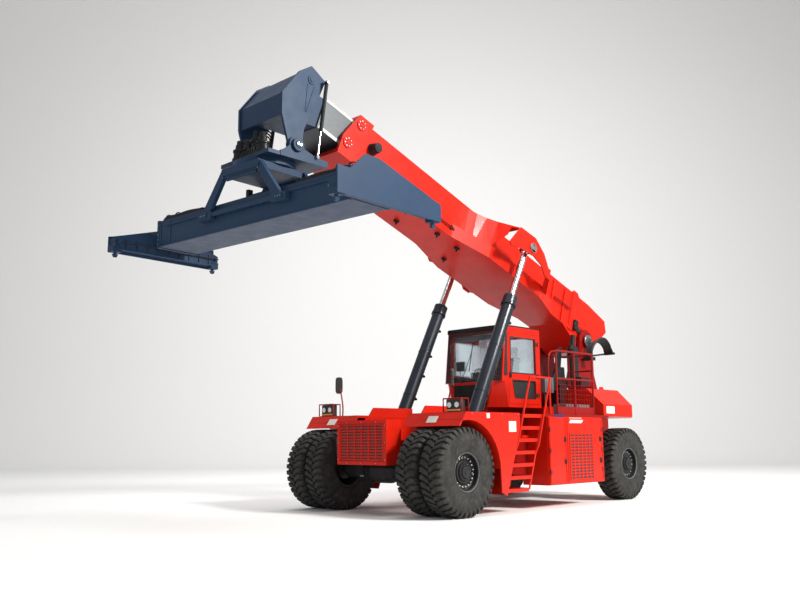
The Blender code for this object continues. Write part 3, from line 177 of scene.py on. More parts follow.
def dust_mask(tree, top, fade):
    """White at the ground, black above top + fade, broken up by noise."""
    place = tree.nodes.new("ShaderNodeNewGeometry")
    split = tree.nodes.new("ShaderNodeSeparateXYZ")
    tree.links.new(place.outputs["Position"], split.inputs["Vector"])
    fall = tree.nodes.new("ShaderNodeMapRange")
    fall.inputs["From Min"].default_value = top + fade
    fall.inputs["From Max"].default_value = top
    tree.links.new(split.outputs["Z"], fall.inputs["Value"])
    rough = tree.nodes.new("ShaderNodeMath")
    rough.operation = "MULTIPLY"
    tree.links.new(fall.outputs["Result"], rough.inputs[0])
    tree.links.new(noise(tree, 3.0), rough.inputs[1])
    return rough.outputs["Value"]


def paint(name, colour, shade=0.82, roughness=0.36, coat=0.35, edge=0.006, dusty=True):
    """Sprayed machine paint: cloudy colour, orange peel, scuffs that dull it, dust low down."""
    material, tree, shader = nodes_of(name)
    dark = tuple(c * shade for c in colour) + (1.0,)
    colour_out = ramp(tree, noise(tree, 1.4, 6.0), dark, colour + (1.0,), 0.32, 0.62)
    grime = ramp(tree, noise(tree, 9.0, 8.0), (0, 0, 0, 1), (1, 1, 1, 1), 0.62, 0.80)
    soften = tree.nodes.new("ShaderNodeMath")
    soften.operation = "MULTIPLY"
    soften.inputs[1].default_value = 0.10
    tree.links.new(grime, soften.inputs[0])
    scuffed = tuple(c * 0.45 for c in colour) + (1.0,)
    colour_out = blended(tree, soften.outputs["Value"], colour_out, scuffed)
    if dusty:
        faint = tree.nodes.new("ShaderNodeMath")
        faint.operation = "MULTIPLY"
        faint.inputs[1].default_value = 0.09
        tree.links.new(dust_mask(tree, 0.25, 0.9), faint.inputs[0])
        colour_out = blended(tree, faint.outputs["Value"], colour_out, (0.20, 0.16, 0.13, 1.0))
    tree.links.new(colour_out, shader.inputs["Base Color"])
    low, high = roughness - 0.04, roughness + 0.06
    tree.links.new(ramp(tree, noise(tree, 5.0, 7.0), (low,) * 3 + (1,), (high,) * 3 + (1,)),
                   shader.inputs["Roughness"])
    shader.inputs["Specular IOR Level"].default_value = 0.16
    shader.inputs["Coat Weight"].default_value = coat
    shader.inputs["Coat Roughness"].default_value = 0.12
    bump(tree, shader, noise(tree, 90.0, 2.0), 0.05, 0.002, edge)
    return material


def metal(name, colour, roughness, metallic=1.0, stretch=None, edge=0.0):
    """Brushed or polished metal with a drifting tint."""
    material, tree, shader = nodes_of(name)
    dark = tuple(c * 0.72 for c in colour) + (1.0,)
    tree.links.new(ramp(tree, noise(tree, 7.0, 6.0, stretch), dark, colour + (1.0,)),
                   shader.inputs["Base Color"])
    shader.inputs["Metallic"].default_value = metallic
    low, high = max(roughness - 0.06, 0.03), roughness + 0.14
    tree.links.new(ramp(tree, noise(tree, 22.0, 5.0, stretch), (low,) * 3 + (1,), (high,) * 3 + (1,)),
                   shader.inputs["Roughness"])
    bump(tree, shader, noise(tree, 120.0, 3.0, stretch), 0.04, 0.001, edge)
    return material


def tyre_rubber():
    """Dark rubber with dust rubbed into it."""
    material, tree, shader = nodes_of("tyre_rubber_look")
    colour = ramp(tree, noise(tree, 6.0, 8.0), (0.010, 0.010, 0.010, 1), (0.030, 0.029, 0.027, 1))
    dust = ramp(tree, noise(tree, 14.0, 9.0), (0, 0, 0, 1), (0.5, 0.5, 0.5, 1), 0.52, 0.80)
    tree.links.new(blended(tree, dust, colour, (0.085, 0.075, 0.064, 1.0)), shader.inputs["Base Color"])
    tree.links.new(ramp(tree, noise(tree, 11.0), (0.62,) * 3 + (1,), (0.86,) * 3 + (1,)),
                   shader.inputs["Roughness"])
    shader.inputs["Specular IOR Level"].default_value = 0.35
    bump(tree, shader, noise(tree, 55.0, 6.0), 0.35, 0.004)
    return material


def soft_black(name, colour=(0.020, 0.020, 0.021), roughness=0.55, grain=160.0):
    """Dull black plastic, rubber or cloth."""
    material, tree, shader = nodes_of(name)
    dark = tuple(c * 0.6 for c in colour) + (1.0,)
    tree.links.new(ramp(tree, noise(tree, 8.0, 6.0), dark, colour + (1.0,)), shader.inputs["Base Color"])
    tree.links.new(ramp(tree, noise(tree, 18.0), (roughness - 0.08,) * 3 + (1,),
                        (roughness + 0.1,) * 3 + (1,)),
                   shader.inputs["Roughness"])
    bump(tree, shader, noise(tree, grain, 3.0), 0.15, 0.001)
    return material


def glazing():
    """Tinted window glass."""
    material, tree, shader = nodes_of("cab_glazing")
    tree.links.new(ramp(tree, noise(tree, 0.8), (0.50, 0.62, 0.68, 1), (0.66, 0.77, 0.82, 1)),
                   shader.inputs["Base Color"])
    tree.links.new(ramp(tree, noise(tree, 3.0, 6.0), (0.015,) * 3 + (1,), (0.05,) * 3 + (1,)),
                   shader.inputs["Roughness"])
    shader.inputs["Transmission Weight"].default_value = 0.92
    shader.inputs["IOR"].default_value = 1.20
    shader.inputs["Alpha"].default_value = 0.55
    return material


def lens(name, colour):
    """Coloured lamp glass."""
    material, tree, shader = nodes_of(name)
    dark = tuple(c * 0.7 for c in colour) + (1.0,)
    tree.links.new(ramp(tree, noise(tree, 60.0, 1.0), dark, colour + (1.0,)), shader.inputs["Base Color"])
    shader.inputs["Roughness"].default_value = 0.12
    shader.inputs["Coat Weight"].default_value = 0.8
    bump(tree, shader, noise(tree, 70.0, 1.0), 0.3, 0.003)
    return material


def grip_plate():
    """Steel deck with a raised diamond tread."""
    material, tree, shader = nodes_of("grip_plate")
    tree.links.new(ramp(tree, noise(tree, 4.0, 6.0), (0.22, 0.022, 0.012, 1), (0.34, 0.040, 0.020, 1)),
                   shader.inputs["Base Color"])
    place = tree.nodes.new("ShaderNodeTexCoord")
    wave = tree.nodes.new("ShaderNodeTexChecker")
    wave.inputs["Scale"].default_value = 36.0
    tree.links.new(place.outputs["Object"], wave.inputs["Vector"])
    shader.inputs["Roughness"].default_value = 0.55
    bump(tree, shader, wave.outputs["Fac"], 0.5, 0.003)
    return material


ORANGE = paint("orange_paint_look", (0.57, 0.012, 0.003), shade=0.86, coat=0.08)
RED = paint("red_paint_look", (0.23, 0.004, 0.003), roughness=0.36, coat=0.06)
SLATE = paint("slate_paint_look", (0.020, 0.046, 0.096), shade=0.90, roughness=0.42, coat=0.05, dusty=False)
SLATE_LIGHT = paint("slate_cylinder_look", (0.016, 0.022, 0.032), shade=0.85, roughness=0.34, coat=0.15,
                    dusty=False)
BLACK = paint("black_paint_look", (0.016, 0.017, 0.019), shade=0.6, roughness=0.48, coat=0.1)
GREY = paint("grey_paint_look", (0.15, 0.16, 0.17), roughness=0.5, coat=0.1)
WEB = metal("grey_boom_look", (0.085, 0.095, 0.105), 0.40, metallic=0.35, stretch=(1.0, 14.0, 14.0),
            edge=0.005)
CHROME = metal("chrome_look", (0.78, 0.79, 0.80), 0.10, stretch=(2.0, 2.0, 0.6))
STEEL = metal("bolt_steel_look", (0.42, 0.43, 0.44), 0.32)
BRIGHT = metal("bright_steel_look", (0.74, 0.74, 0.72), 0.28)
TRACK = metal("wear_track_look", (0.40, 0.41, 0.41), 0.45, metallic=0.4)
RUBBER = tyre_rubber()
GLASS = glazing()
PLASTIC = soft_black("black_plastic_look", roughness=0.42)
HOSE = soft_black("hose_rubber_look", (0.016, 0.016, 0.017), 0.6, 90.0)
CLOTH = soft_black("operator_cushion_look", (0.028, 0.028, 0.032), 0.85, 420.0)
LENS = lens("clear_lens_look", (0.80, 0.82, 0.84))
AMBER = lens("amber_lens_look", (0.85, 0.28, 0.02))
RED_LENS = lens("red_lens_look", (0.55, 0.02, 0.02))
PLATE = paint("blank_plate_look", (0.70, 0.68, 0.62), roughness=0.45, coat=0.1, dusty=False)
BLUE = paint("blue_plate_look", (0.012, 0.030, 0.16), dusty=False)
GRIP = grip_plate()

LOOKS = {"orange_paint": ORANGE, "red_paint": RED, "slate_paint": SLATE, "black_parts": BLACK,
         "tyre_rubber": RUBBER,
         "chrome_rod": CHROME, "grey_parts": GREY, "grey_boom": WEB, "cab_glass": GLASS}


def dress_frame():
    """Every carried-over solid takes the look of its own finish."""
    special = {"lift_barrel_left": SLATE_LIGHT, "lift_barrel_right": SLATE_LIGHT, "operator_seat": CLOTH,
               "steering_column": PLASTIC, "lamp_and_mirror_left": BLACK, "lamp_and_mirror_right": BLACK}
    slots = {part["node"]: part["material_slot"] for part in frame["record"]["subparts"]}
    for name, thing in NODES.items():
        look = special.get(name, LOOKS[slots[name]])
        thing.data.materials.clear()
        thing.data.materials.append(look)


# ------------------------------------------------------------------ shape tools
class Piece:
    """A named mesh gathered from simple shapes, then edge-bevelled and set on a body."""

    def __init__(self, axes=WORLD_AXES, place=world):
        self.bm = bmesh.new()
        self.axes = axes
        self.place = place

    def _turn(self):
        a, b, c = self.axes
        return Matrix(((a.x, b.x, c.x), (a.y, b.y, c.y), (a.z, b.z, c.z))).to_4x4()

    def box(self, x0, x1, y0, y1, z0, z1):
        verts = bmesh.ops.create_cube(self.bm, size=1.0)["verts"]
        size = Matrix.Diagonal((abs(x1 - x0), abs(y1 - y0), abs(z1 - z0), 1.0))
        centre = self.place((x0 + x1) / 2, (y0 + y1) / 2, (z0 + z1) / 2)
        bmesh.ops.transform(self.bm, matrix=Matrix.Translation(centre) @ self._turn() @ size, verts=verts)
        return self

    def bar(self, start, end, radius, sides=14, tip=None):
        start, end = self.place(*start), self.place(*end)
        run = end - start
        turn = run.to_track_quat("Z", "Y").to_matrix().to_4x4()
        verts = bmesh.ops.create_cone(self.bm, cap_ends=True, segments=sides, radius1=radius,
                                      radius2=radius if tip is None else tip, depth=run.length)["verts"]
        bmesh.ops.transform(self.bm, matrix=Matrix.Translation((start + end) / 2) @ turn, verts=verts)
        return self

    def plate(self, outline, low, high, axis="y"):
        """An outline pushed along an axis, as in the part's source."""
        order = {"x": lambda a, b, c: (c, a, b), "y": lambda a, b, c: (a, c, b),
                 "z": lambda a, b, c: (a, b, c)}[axis]
        near = [self.bm.verts.new(self.place(*order(a, b, low))) for a, b in outline]
        far = [self.bm.verts.new(self.place(*order(a, b, high))) for a, b in outline]
        self.bm.faces.new(near)
        self.bm.faces.new(far)
        for i in range(len(outline)):
            j = (i + 1) % len(outline)
            self.bm.faces.new((near[i], near[j], far[j], far[i]))
        return self

    def ring(self, centre, axis, radius, count, head, reach, start=0.0, span=2 * math.pi):
        """Bolt heads on a circle; centre is a point in this piece's own axes, axis a world direction."""
        middle_point = self.place(*centre)
        normal = Vector(axis).normalized()
        first = normal.orthogonal().normalized()
        second = normal.cross(first)
        for i in range(count):
            angle = start + span * i / count
            spot = middle_point + first * radius * math.cos(angle) + second * radius * math.sin(angle)
            turn = normal.to_track_quat("Z", "Y").to_matrix().to_4x4()
            verts = bmesh.ops.create_cone(self.bm, cap_ends=True, segments=6, radius1=head,
                                          radius2=head * 0.92,
                                          depth=reach)["verts"]
            bmesh.ops.transform(self.bm, matrix=Matrix.Translation(spot + normal * reach / 2) @ turn,
                                verts=verts)
        return self

    def done(self, name, material, body, bevel=0.004, smooth=35):
        bmesh.ops.recalc_face_normals(self.bm, faces=self.bm.faces)
        mesh = bpy.data.meshes.new(name)
        self.bm.to_mesh(mesh)
        self.bm.free()
        thing = bpy.data.objects.new(name, mesh)
        bpy.context.scene.collection.objects.link(thing)
        mesh.materials.append(material)
        mesh.shade_smooth()
        mesh.set_sharp_from_angle(angle=math.radians(smooth))
        if bevel:
            change = thing.modifiers.new("edges", "BEVEL")
            change.width = bevel
            change.segments = 2
            change.limit_method = "ANGLE"
            change.angle_limit = math.radians(40)
            change.harden_normals = False
        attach(thing, body)
        return thing


def pipe(name, points, radius, material, body, smooth=True, sides=5):
    """A bent pipe or clamped hose through world points."""
    curve = bpy.data.curves.new(name, "CURVE")
    curve.dimensions = "3D"
    curve.bevel_depth = radius
    curve.bevel_resolution = sides
    curve.use_fill_caps = True
    for route in points:
        spline = curve.splines.new("BEZIER" if smooth else "POLY")
        if smooth:
            spline.bezier_points.add(len(route) - 1)
            for knot, point in zip(spline.bezier_points, route):
                knot.co = point
                knot.handle_left_type = knot.handle_right_type = "AUTO"
        else:
            spline.points.add(len(route) - 1)
            for knot, point in zip(spline.points, route):
                knot.co = (*point, 1.0)
    curve.materials.append(material)
    thing = bpy.data.objects.new(name, curve)
    bpy.context.scene.collection.objects.link(thing)
    mesh = bpy.data.meshes.new_from_object(thing.evaluated_get(bpy.context.evaluated_depsgraph_get()))
    bpy.data.objects.remove(thing, do_unlink=True)
    mesh.shade_smooth()
    thing = bpy.data.objects.new(name, mesh)
    bpy.context.scene.collection.objects.link(thing)
    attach(thing, body)
    return thing


def lathe(name, profile, centre, steps, material, body, axis_side=1, smooth=30):
    """A profile of (radius, y) turned round the Y axis at centre; y is measured outward on its side."""
    bm = bmesh.new()
    rows = []
    for i in range(steps):
        angle = 2 * math.pi * i / steps
        rows.append([bm.verts.new((centre[0] + r * math.sin(angle), centre[1] + axis_side * y,
                                   centre[2] - r * math.cos(angle))) for r, y in profile])
    for i in range(steps):
        here, after = rows[i], rows[(i + 1) % steps]
        for k in range(len(profile) - 1):
            bm.faces.new((here[k], here[k + 1], after[k + 1], after[k]))
    bmesh.ops.recalc_face_normals(bm, faces=bm.faces)
    mesh = bpy.data.meshes.new(name)
    bm.to_mesh(mesh)
    bm.free()
    mesh.materials.append(material)
    mesh.shade_smooth()
    mesh.set_sharp_from_angle(angle=math.radians(smooth))
    thing = bpy.data.objects.new(name, mesh)
    bpy.context.scene.collection.objects.link(thing)
    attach(thing, body)
    return thing


# ------------------------------------------------------------------ tyres and rims
TREAD = 0.044                # depth of the tread grooves
LUGS = 38                    # lugs round each half of the tread
# Each point of a lug: its turn in lugs, its share of the half width and its width in lugs.
LUG_PATH = ((0.00, 0.03, 0.66), (0.05, 0.22, 0.70), (0.26, 0.46, 0.72), (0.44, 0.66, 0.72),
            (0.50, 0.84, 0.70), (0.50, 1.0, 0.68))


def tyre(name, node, body):
    """Carcass with curved heavy lugs, alternating left and right across the tread."""
    low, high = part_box(node)
    centre = (low + high) / 2
    centre.z = AXLE_Z
    half = (high.y - low.y) / 2
    outer = AXLE_Z
    groove = outer - TREAD
    bore = 0.347
    carcass = [(bore, -half + 0.05), (bore + 0.03, -half + 0.022), (bore + 0.10, -half + 0.006),
               (groove - 0.18, -half + 0.002), (groove - 0.07, -half + 0.012), (groove - 0.02, -half + 0.035),
               (groove, -half + 0.075), (groove + 0.004, -half * 0.3), (groove + 0.005, 0.0)]
    profile = carcass + [(r, -y) for r, y in reversed(carcass[:-1])] + [(bore, -half + 0.05)]
    bm = bmesh.new()
    steps = 104
    rows = []
    for i in range(steps):
        angle = 2 * math.pi * i / steps
        rows.append([bm.verts.new((centre.x + r * math.sin(angle), centre.y + y,
                                   centre.z - r * math.cos(angle)))
                     for r, y in profile[:-1]])
    for i in range(steps):
        here, after = rows[i], rows[(i + 1) % steps]
        count = len(here)
        for k in range(count):
            j = (k + 1) % count
            bm.faces.new((here[k], here[j], after[j], after[k]))
    pitch = 2 * math.pi / LUGS
    for side in (1, -1):
        for i in range(LUGS):
            base = pitch * (i + (0.5 if side < 0 else 0.0))
            add_lug(bm, centre, base, pitch, side, half, outer, groove)
    bmesh.ops.recalc_face_normals(bm, faces=bm.faces)
    mesh = bpy.data.meshes.new(name)
    bm.to_mesh(mesh)
    bm.free()
    mesh.materials.append(RUBBER)
    mesh.shade_smooth()
    mesh.set_sharp_from_angle(angle=math.radians(32))
    thing = bpy.data.objects.new(name, mesh)
    bpy.context.scene.collection.objects.link(thing)
    change = thing.modifiers.new("edges", "BEVEL")
    change.width = 0.006
    change.segments = 1
    change.limit_method = "ANGLE"
    change.angle_limit = math.radians(50)
    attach(thing, body)
    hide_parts(node)
    return thing


def add_lug(bm, centre, base, pitch, side, half, outer, groove):
    """One lug: a curved bar over the tread that turns down over the shoulder and tapers on the sidewall."""
    def spot(turn, y, radius):
        angle = base + turn * pitch
        return bm.verts.new((centre.x + radius * math.sin(angle), centre.y + side * y,
                             centre.z - radius * math.cos(angle)))

    rows = []
    for turn, share, width in LUG_PATH:
        y = share * (half - 0.050) if share < 1 else half - 0.040
        top = outer if share < 0.9 else outer - 0.008
        a, b = turn - width / 2, turn + width / 2
        rows.append((spot(a - 0.04, y, groove - 0.012), spot(a + 0.04, y, top),
                     spot(b - 0.04, y, top), spot(b + 0.04, y, groove - 0.012)))
    turn, _, width = LUG_PATH[-1]
    for drop, y, shrink in ((0.040, half - 0.010, 0.01), (0.085, half - 0.001, 0.06),
                            (0.120, half - 0.006, 0.12)):
        a, b = turn - width / 2 + shrink, turn + width / 2 - shrink
        rows.append((spot(a - 0.04, y - 0.034, outer - drop), spot(a + 0.04, y, outer - drop),
                     spot(b - 0.04, y, outer - drop), spot(b + 0.04, y - 0.034, outer - drop)))
    bm.faces.new(rows[0])
    bm.faces.new(rows[-1])
    for here, after in zip(rows, rows[1:]):
        for k in range(4):
            j = (k + 1) % 4
            bm.faces.new((here[k], here[j], after[j], after[k]))


def wheels():
    """Tyres with their lugs, and the rims' bolts and rings, on each wheel's body."""
    for name, side in SIDES:
        body = "front_wheels_" + name
        for label in ("inner", "outer"):
            tyre("front_tyre_%s_%s_look" % (label, name), "front_tyre_%s_%s" % (label, name), body)
        tyre("rear_tyre_%s_look" % name, "rear_tyre_" + name, "rear_wheel_" + name)
        rim_detail(side, "front_rim_" + name, body, middle("front_tyre_outer_" + name), 20)
        rim_detail(side, "rear_rim_" + name, "rear_wheel_" + name, middle("rear_tyre_" + name), 18)


def rim_detail(side, node, body, centre, count):
    """Rolled flange and lock ring, the dished disc, its ring of bright nuts, and the stepped hub."""
    middle_point = (centre.x, centre.y, AXLE_Z)
    profile = [(0.350, 0.180), (0.370, 0.196), (0.380, 0.210), (0.374, 0.222), (0.356, 0.220),
               (0.343, 0.204), (0.340, 0.188), (0.333, 0.184), (0.330, 0.150), (0.322, 0.126),
               (0.308, 0.113), (0.296, 0.110), (0.228, 0.110), (0.218, 0.114), (0.206, 0.140),
               (0.196, 0.147), (0.180, 0.148), (0.120, 0.148)]
    lathe(node + "_dish", profile, middle_point, 72, BLACK, body, side)
    lock = [(0.341, 0.196), (0.348, 0.206), (0.352, 0.222), (0.345, 0.226), (0.337, 0.214), (0.334, 0.198)]
    lathe(node + "_lock_ring", lock, middle_point, 72, GREY, body, side)

    def place(x, y, z):
        return Vector((centre.x + x, centre.y + side * y, AXLE_Z + z))

    nuts = Piece(place=place)
    nuts.ring((0, 0.110, 0), (0, side, 0), 0.262, count, 0.0190, 0.032)
    nuts.ring((0, 0.110, 0), (0, side, 0), 0.262, count, 0.0085, 0.042)
    nuts.done(node + "_nuts", BRIGHT, body, bevel=0.0015)
    hub = Piece(place=place)
    hub.bar((0, 0.145, 0), (0, 0.178, 0), 0.172, 44, 0.158)
    hub.bar((0, 0.176, 0), (0, 0.206, 0), 0.118, 36, 0.104)
    hub.bar((0, 0.204, 0), (0, 0.218, 0), 0.046, 6, 0.042)
    hub.ring((0, 0.178, 0), (0, side, 0), 0.140, 12, 0.011, 0.014, 0.13)
    for i in range(10):
        angle = math.pi * i / 5
        hub.bar((0.120 * math.cos(angle), 0.186, 0.120 * math.sin(angle)),
                (0.168 * math.cos(angle), 0.160, 0.168 * math.sin(angle)), 0.008, 8)
    hub.done(node + "_hub", BLACK, body, bevel=0.003)


# ------------------------------------------------------------------ chassis fittings
def slotted_panel(name, x_axis, low, high, face, columns, rows, body, depth, margin=0.03):
    """Panel with a grid of slots: bars across and up, over a dark sheet."""
    bars = Piece()
    a0, a1 = low[0], high[0]
    z0, z1 = low[1], high[1]

    def put(pa, pb, za, zb, d0, d1):
        if x_axis:
            bars.box(pa, pb, face + d0, face + d1, za, zb)
        else:
            bars.box(face + d0, face + d1, pa, pb, za, zb)

    step = (a1 - a0) / columns
    for i in range(columns + 1):
        put(a0 + step * i - margin / 2, a0 + step * i + margin / 2, z0, z1, 0.0, depth)
    rise = (z1 - z0) / rows
    for i in range(rows + 1):
        put(a0, a1, z0 + rise * i - rise * 0.24, z0 + rise * i + rise * 0.24, 0.0, depth * 0.92)
    bars.done(name + "_bars", ORANGE, body, bevel=0.003)
    back = Piece()
    inset = depth * 0.25
    if x_axis:
        back.box(a0, a1, face - 0.001, face + inset, z0, z1)
    else:
        back.box(face - 0.001, face + inset, a0, a1, z0, z1)
    back.done(name + "_mesh", PLASTIC, body, bevel=0.002)


def grille():
    """Slotted front of the box between the front wheels."""
    low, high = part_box("front_grille_box")
    inner = high.x - 0.03 - MX
    slotted_panel("grille", False, (-0.58, low.z + 0.10), (0.58, high.z - 0.09), inner + 0.0005, 6, 12,
                  "machine", 0.024)
    frame_piece = Piece()
    face = high.x - MX
    for y in (-0.635, 0.635):
        frame_piece.ring((face, y, high.z - 0.10), (1, 0, 0), 0.0, 1, 0.012, 0.010)
        frame_piece.ring((face, y, low.z + 0.10), (1, 0, 0), 0.0, 1, 0.012, 0.010)
        frame_piece.ring((face, y, (low.z + high.z) / 2), (1, 0, 0), 0.0, 1, 0.012, 0.010)
    for y in (-0.4, 0.0, 0.4):
        for z in (low.z + 0.035, high.z - 0.035):
            frame_piece.ring((face, y, z), (1, 0, 0), 0.0, 1, 0.012, 0.010)
    frame_piece.done("grille_screws", STEEL, "machine", bevel=0.001)


def side_doors():
    """Panels, hinges and latches of the battery and louvre doors."""
    for node, body in (("louvre_door", "louvre_door"), ("battery_door", "battery_door")):
        low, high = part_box(node)
        face = high.y
        x0, x1 = low.x - MX, high.x - MX
        if node == "louvre_door":
            slotted_panel("louvre", True, (x1 - 0.97, low.z + 0.08), (x1 - 0.10, high.z - 0.34),
                          face + 0.0005,
                          6, 15, body, 0.014, margin=0.035)
        trim = Piece()
        edge = 0.030
        trim.box(x0 + 0.02, x1 - 0.02, face + 0.0005, face + 0.010, low.z + 0.02, low.z + 0.02 + edge)
        trim.box(x0 + 0.02, x1 - 0.02, face + 0.0005, face + 0.010, high.z - 0.02 - edge, high.z - 0.02)
        trim.box(x0 + 0.02, x0 + 0.02 + edge, face + 0.0005, face + 0.010, low.z + 0.052, high.z - 0.052)
        trim.box(x1 - 0.02 - edge, x1 - 0.02, face + 0.0005, face + 0.010, low.z + 0.052, high.z - 0.052)
        trim.done(node + "_trim", ORANGE, body, bevel=0.003)
        lock_x = x0 + 0.07 if node == "battery_door" else x0 + 0.12
        lock = Piece()
        for z in (low.z + 0.45, high.z - 0.45):
            lock.box(lock_x - 0.03, lock_x + 0.03, face + 0.0005, face + 0.016, z - 0.055, z + 0.055)
            lock.bar((lock_x, face + 0.014, z + 0.02), (lock_x, face + 0.030, z + 0.02), 0.016, 16)
            lock.box(lock_x - 0.012, lock_x + 0.012, face + 0.022, face + 0.032, z - 0.04, z + 0.02)
        lock.done(node + "_latches", PLASTIC, body, bevel=0.003)
        hinge_x = x1 - 0.005 if node == "battery_door" else x0 + 0.005
        hinges = Piece()
        for z in (low.z + 0.25, (low.z + high.z) / 2, high.z - 0.25):
            hinges.bar((hinge_x, face + 0.012, z - 0.05), (hinge_x, face + 0.012, z + 0.05), 0.012, 14)
            leaf = -0.07 if node == "battery_door" else 0.07
            hinges.box(*sorted((hinge_x, hinge_x + leaf)), face + 0.0005, face + 0.007, z - 0.045, z + 0.045)
        hinges.done(node + "_hinges", BLACK, body, bevel=0.002)


def fender_fittings():
    """Bolts, blank plates and edges of the front fenders."""
    for name, side in SIDES:
        low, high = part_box("front_fender_" + name)
        outer = (high.y if side > 0 else -low.y)
        deck = Piece()
        deck.box(-1.16, -0.02, *span(side, 1.20, 2.02), DECK_FENDER + 0.0005, DECK_FENDER + 0.005)
        deck.done("fender_grip_" + name, GRIP, "machine", bevel=0.001)
        label = Piece()
        nose = Vector((0.25 - 0.058, 0, 1.626 - 1.877))
        nose.normalize()
        outward = Vector((-nose.z, 0, nose.x))
        spot = Vector((0.155, side * 1.38, 1.752)) + outward * 0.004
        corners = []
        for along, across in ((-0.075, -0.12), (0.075, -0.12), (0.075, 0.12), (-0.075, 0.12)):
            corners.append(spot + nose * along + Vector((0, across, 0)))
        lower = [label.bm.verts.new(world(*(c - outward * 0.003))) for c in corners]
        upper = [label.bm.verts.new(world(*(c + outward * 0.002))) for c in corners]
        label.bm.faces.new(lower)
        label.bm.faces.new(upper)
        for i in range(4):
            j = (i + 1) % 4
            label.bm.faces.new((lower[i], lower[j], upper[j], upper[i]))
        label.done("blank_plate_nose_" + name, PLATE, "machine", bevel=0.001)
        marks = Piece()
        y = side * (outer + 0.0005)
        marks.box(-1.43, -1.20, *sorted((y, y + side * 0.004)), 1.52, 1.72)
        marks.done("blank_plate_side_" + name, PLATE, "machine", bevel=0.001)
        square = Piece()
        square.box(-0.62, -0.53, *sorted((y, y + side * 0.005)), 1.77, 1.86)
        square.done("reflector_" + name, LENS, "machine", bevel=0.001)
        bolts = Piece()
        for x in (-1.50, -1.00, -0.5, -0.1):
            bolts.ring((x, side * outer, 1.855), (0, side, 0), 0.0, 1, 0.011, 0.008)
        bolts.done("fender_bolts_" + name, STEEL, "machine", bevel=0.001)


def lights_and_mirrors():
    """Work lamps, their guards and the mirrors on both fenders."""
    for name, side in SIDES:
        lamp_x = 0.06 - 0.16
        lamp_y = 1.74
        base = DECK_FENDER
        guard = []
        for y in (lamp_y - 0.22, lamp_y + 0.22):
            guard.append([world(lamp_x - 0.09, side * y, base + 0.01),
                          world(lamp_x - 0.09, side * y, base + 0.25),
                          world(lamp_x + 0.10, side * y, base + 0.25), world(lamp_x + 0.10, side * y,
                                                                             base + 0.01)])
        guard.append([world(lamp_x + 0.10, side * (lamp_y - 0.22), base + 0.25),
                      world(lamp_x + 0.10, side * (lamp_y + 0.22), base + 0.25)])
        guard.append([world(lamp_x - 0.09, side * (lamp_y - 0.22), base + 0.25),
                      world(lamp_x - 0.09, side * (lamp_y + 0.22), base + 0.25)])
        pipe("lamp_guard_" + name, guard, 0.013, RED, "machine", smooth=False)
        face = lamp_x + 0.08
        lamps = Piece()
        rims = Piece()
        for y in (lamp_y - 0.09, lamp_y + 0.09):
            lamps.bar((face - 0.01, side * y, base + 0.135), (face + 0.012, side * y, base + 0.135),
                      0.058, 28, 0.050)
            rims.bar((face - 0.015, side * y, base + 0.135), (face + 0.008, side * y, base + 0.135),
                     0.070, 28, 0.068)
        lamps.done("lamp_lenses_" + name, LENS, "machine", bevel=0.003)
        rims.done("lamp_rims_" + name, PLASTIC, "machine", bevel=0.003)
        blink = Piece()
        blink.box(face - 0.01, face + 0.012, *span(side, lamp_y - 0.16, lamp_y + 0.16),
                  base + 0.02,
                  base + 0.055)
        blink.done("indicator_" + name, AMBER, "machine", bevel=0.004)
        housing = Piece()
        housing.box(lamp_x - 0.05, lamp_x + 0.075, *span(side, lamp_y - 0.17, lamp_y + 0.17),
                    base + 0.012, base + 0.235)
        housing.box(lamp_x - 0.14, lamp_x + 0.12, *span(side, lamp_y - 0.22, lamp_y + 0.195),
                    base, base + 0.012)
        housing.done("lamp_housing_" + name, PLASTIC, "machine", bevel=0.010)
        mirror(name, side, base)


def mirror(name, side, base):
    """Bent red stalk with a rounded mirror turned towards the operator."""
    px, py = 0.06 - 0.28, 1.47
    stalk = [[world(px, side * py, base), world(px + 0.005, side * (py - 0.01), base + 0.20),
              world(px - 0.002, side * (py + 0.03), base + 0.38), world(px, side * (py + 0.06), base + 0.50),
              world(px, side * (py + 0.09), base + 0.64)]]
    pipe("mirror_stalk_" + name, stalk, 0.015, RED, "machine")
    turn = math.radians(38 * side)
    right = Vector((math.cos(turn), math.sin(turn), 0))
    back = Vector((-right.y, right.x, 0))
    centre = world(px, side * (py + 0.09), base + 0.65)

    def place(x, y, z):
        return centre + right * x + back * y + Vector((0, 0, z))

    shell = Piece((right, back, Vector((0, 0, 1))), place)
    outline = []
    for i in range(20):
        angle = 2 * math.pi * i / 20
        outline.append((0.020 + 0.085 * math.copysign(abs(math.cos(angle)) ** 0.45, math.cos(angle)),
                        0.175 * math.copysign(abs(math.sin(angle)) ** 0.45, math.sin(angle))))
    shell.plate([(a * 0.9, b) for a, b in outline], -0.022, 0.022)
    thing = shell.done("mirror_shell_" + name, PLASTIC, "machine", bevel=0.010)
    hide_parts("lamp_and_mirror_" + name)
    glass = Piece((right, back, Vector((0, 0, 1))), place)
    face = side * 0.023
    glass.plate([(a * 0.80, b * 0.92) for a, b in outline], face, face + side * 0.002)
    glass.done("mirror_glass_" + name, CHROME, "machine", bevel=0.0)


DECK_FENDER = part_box("lamp_and_mirror_left")[0].z


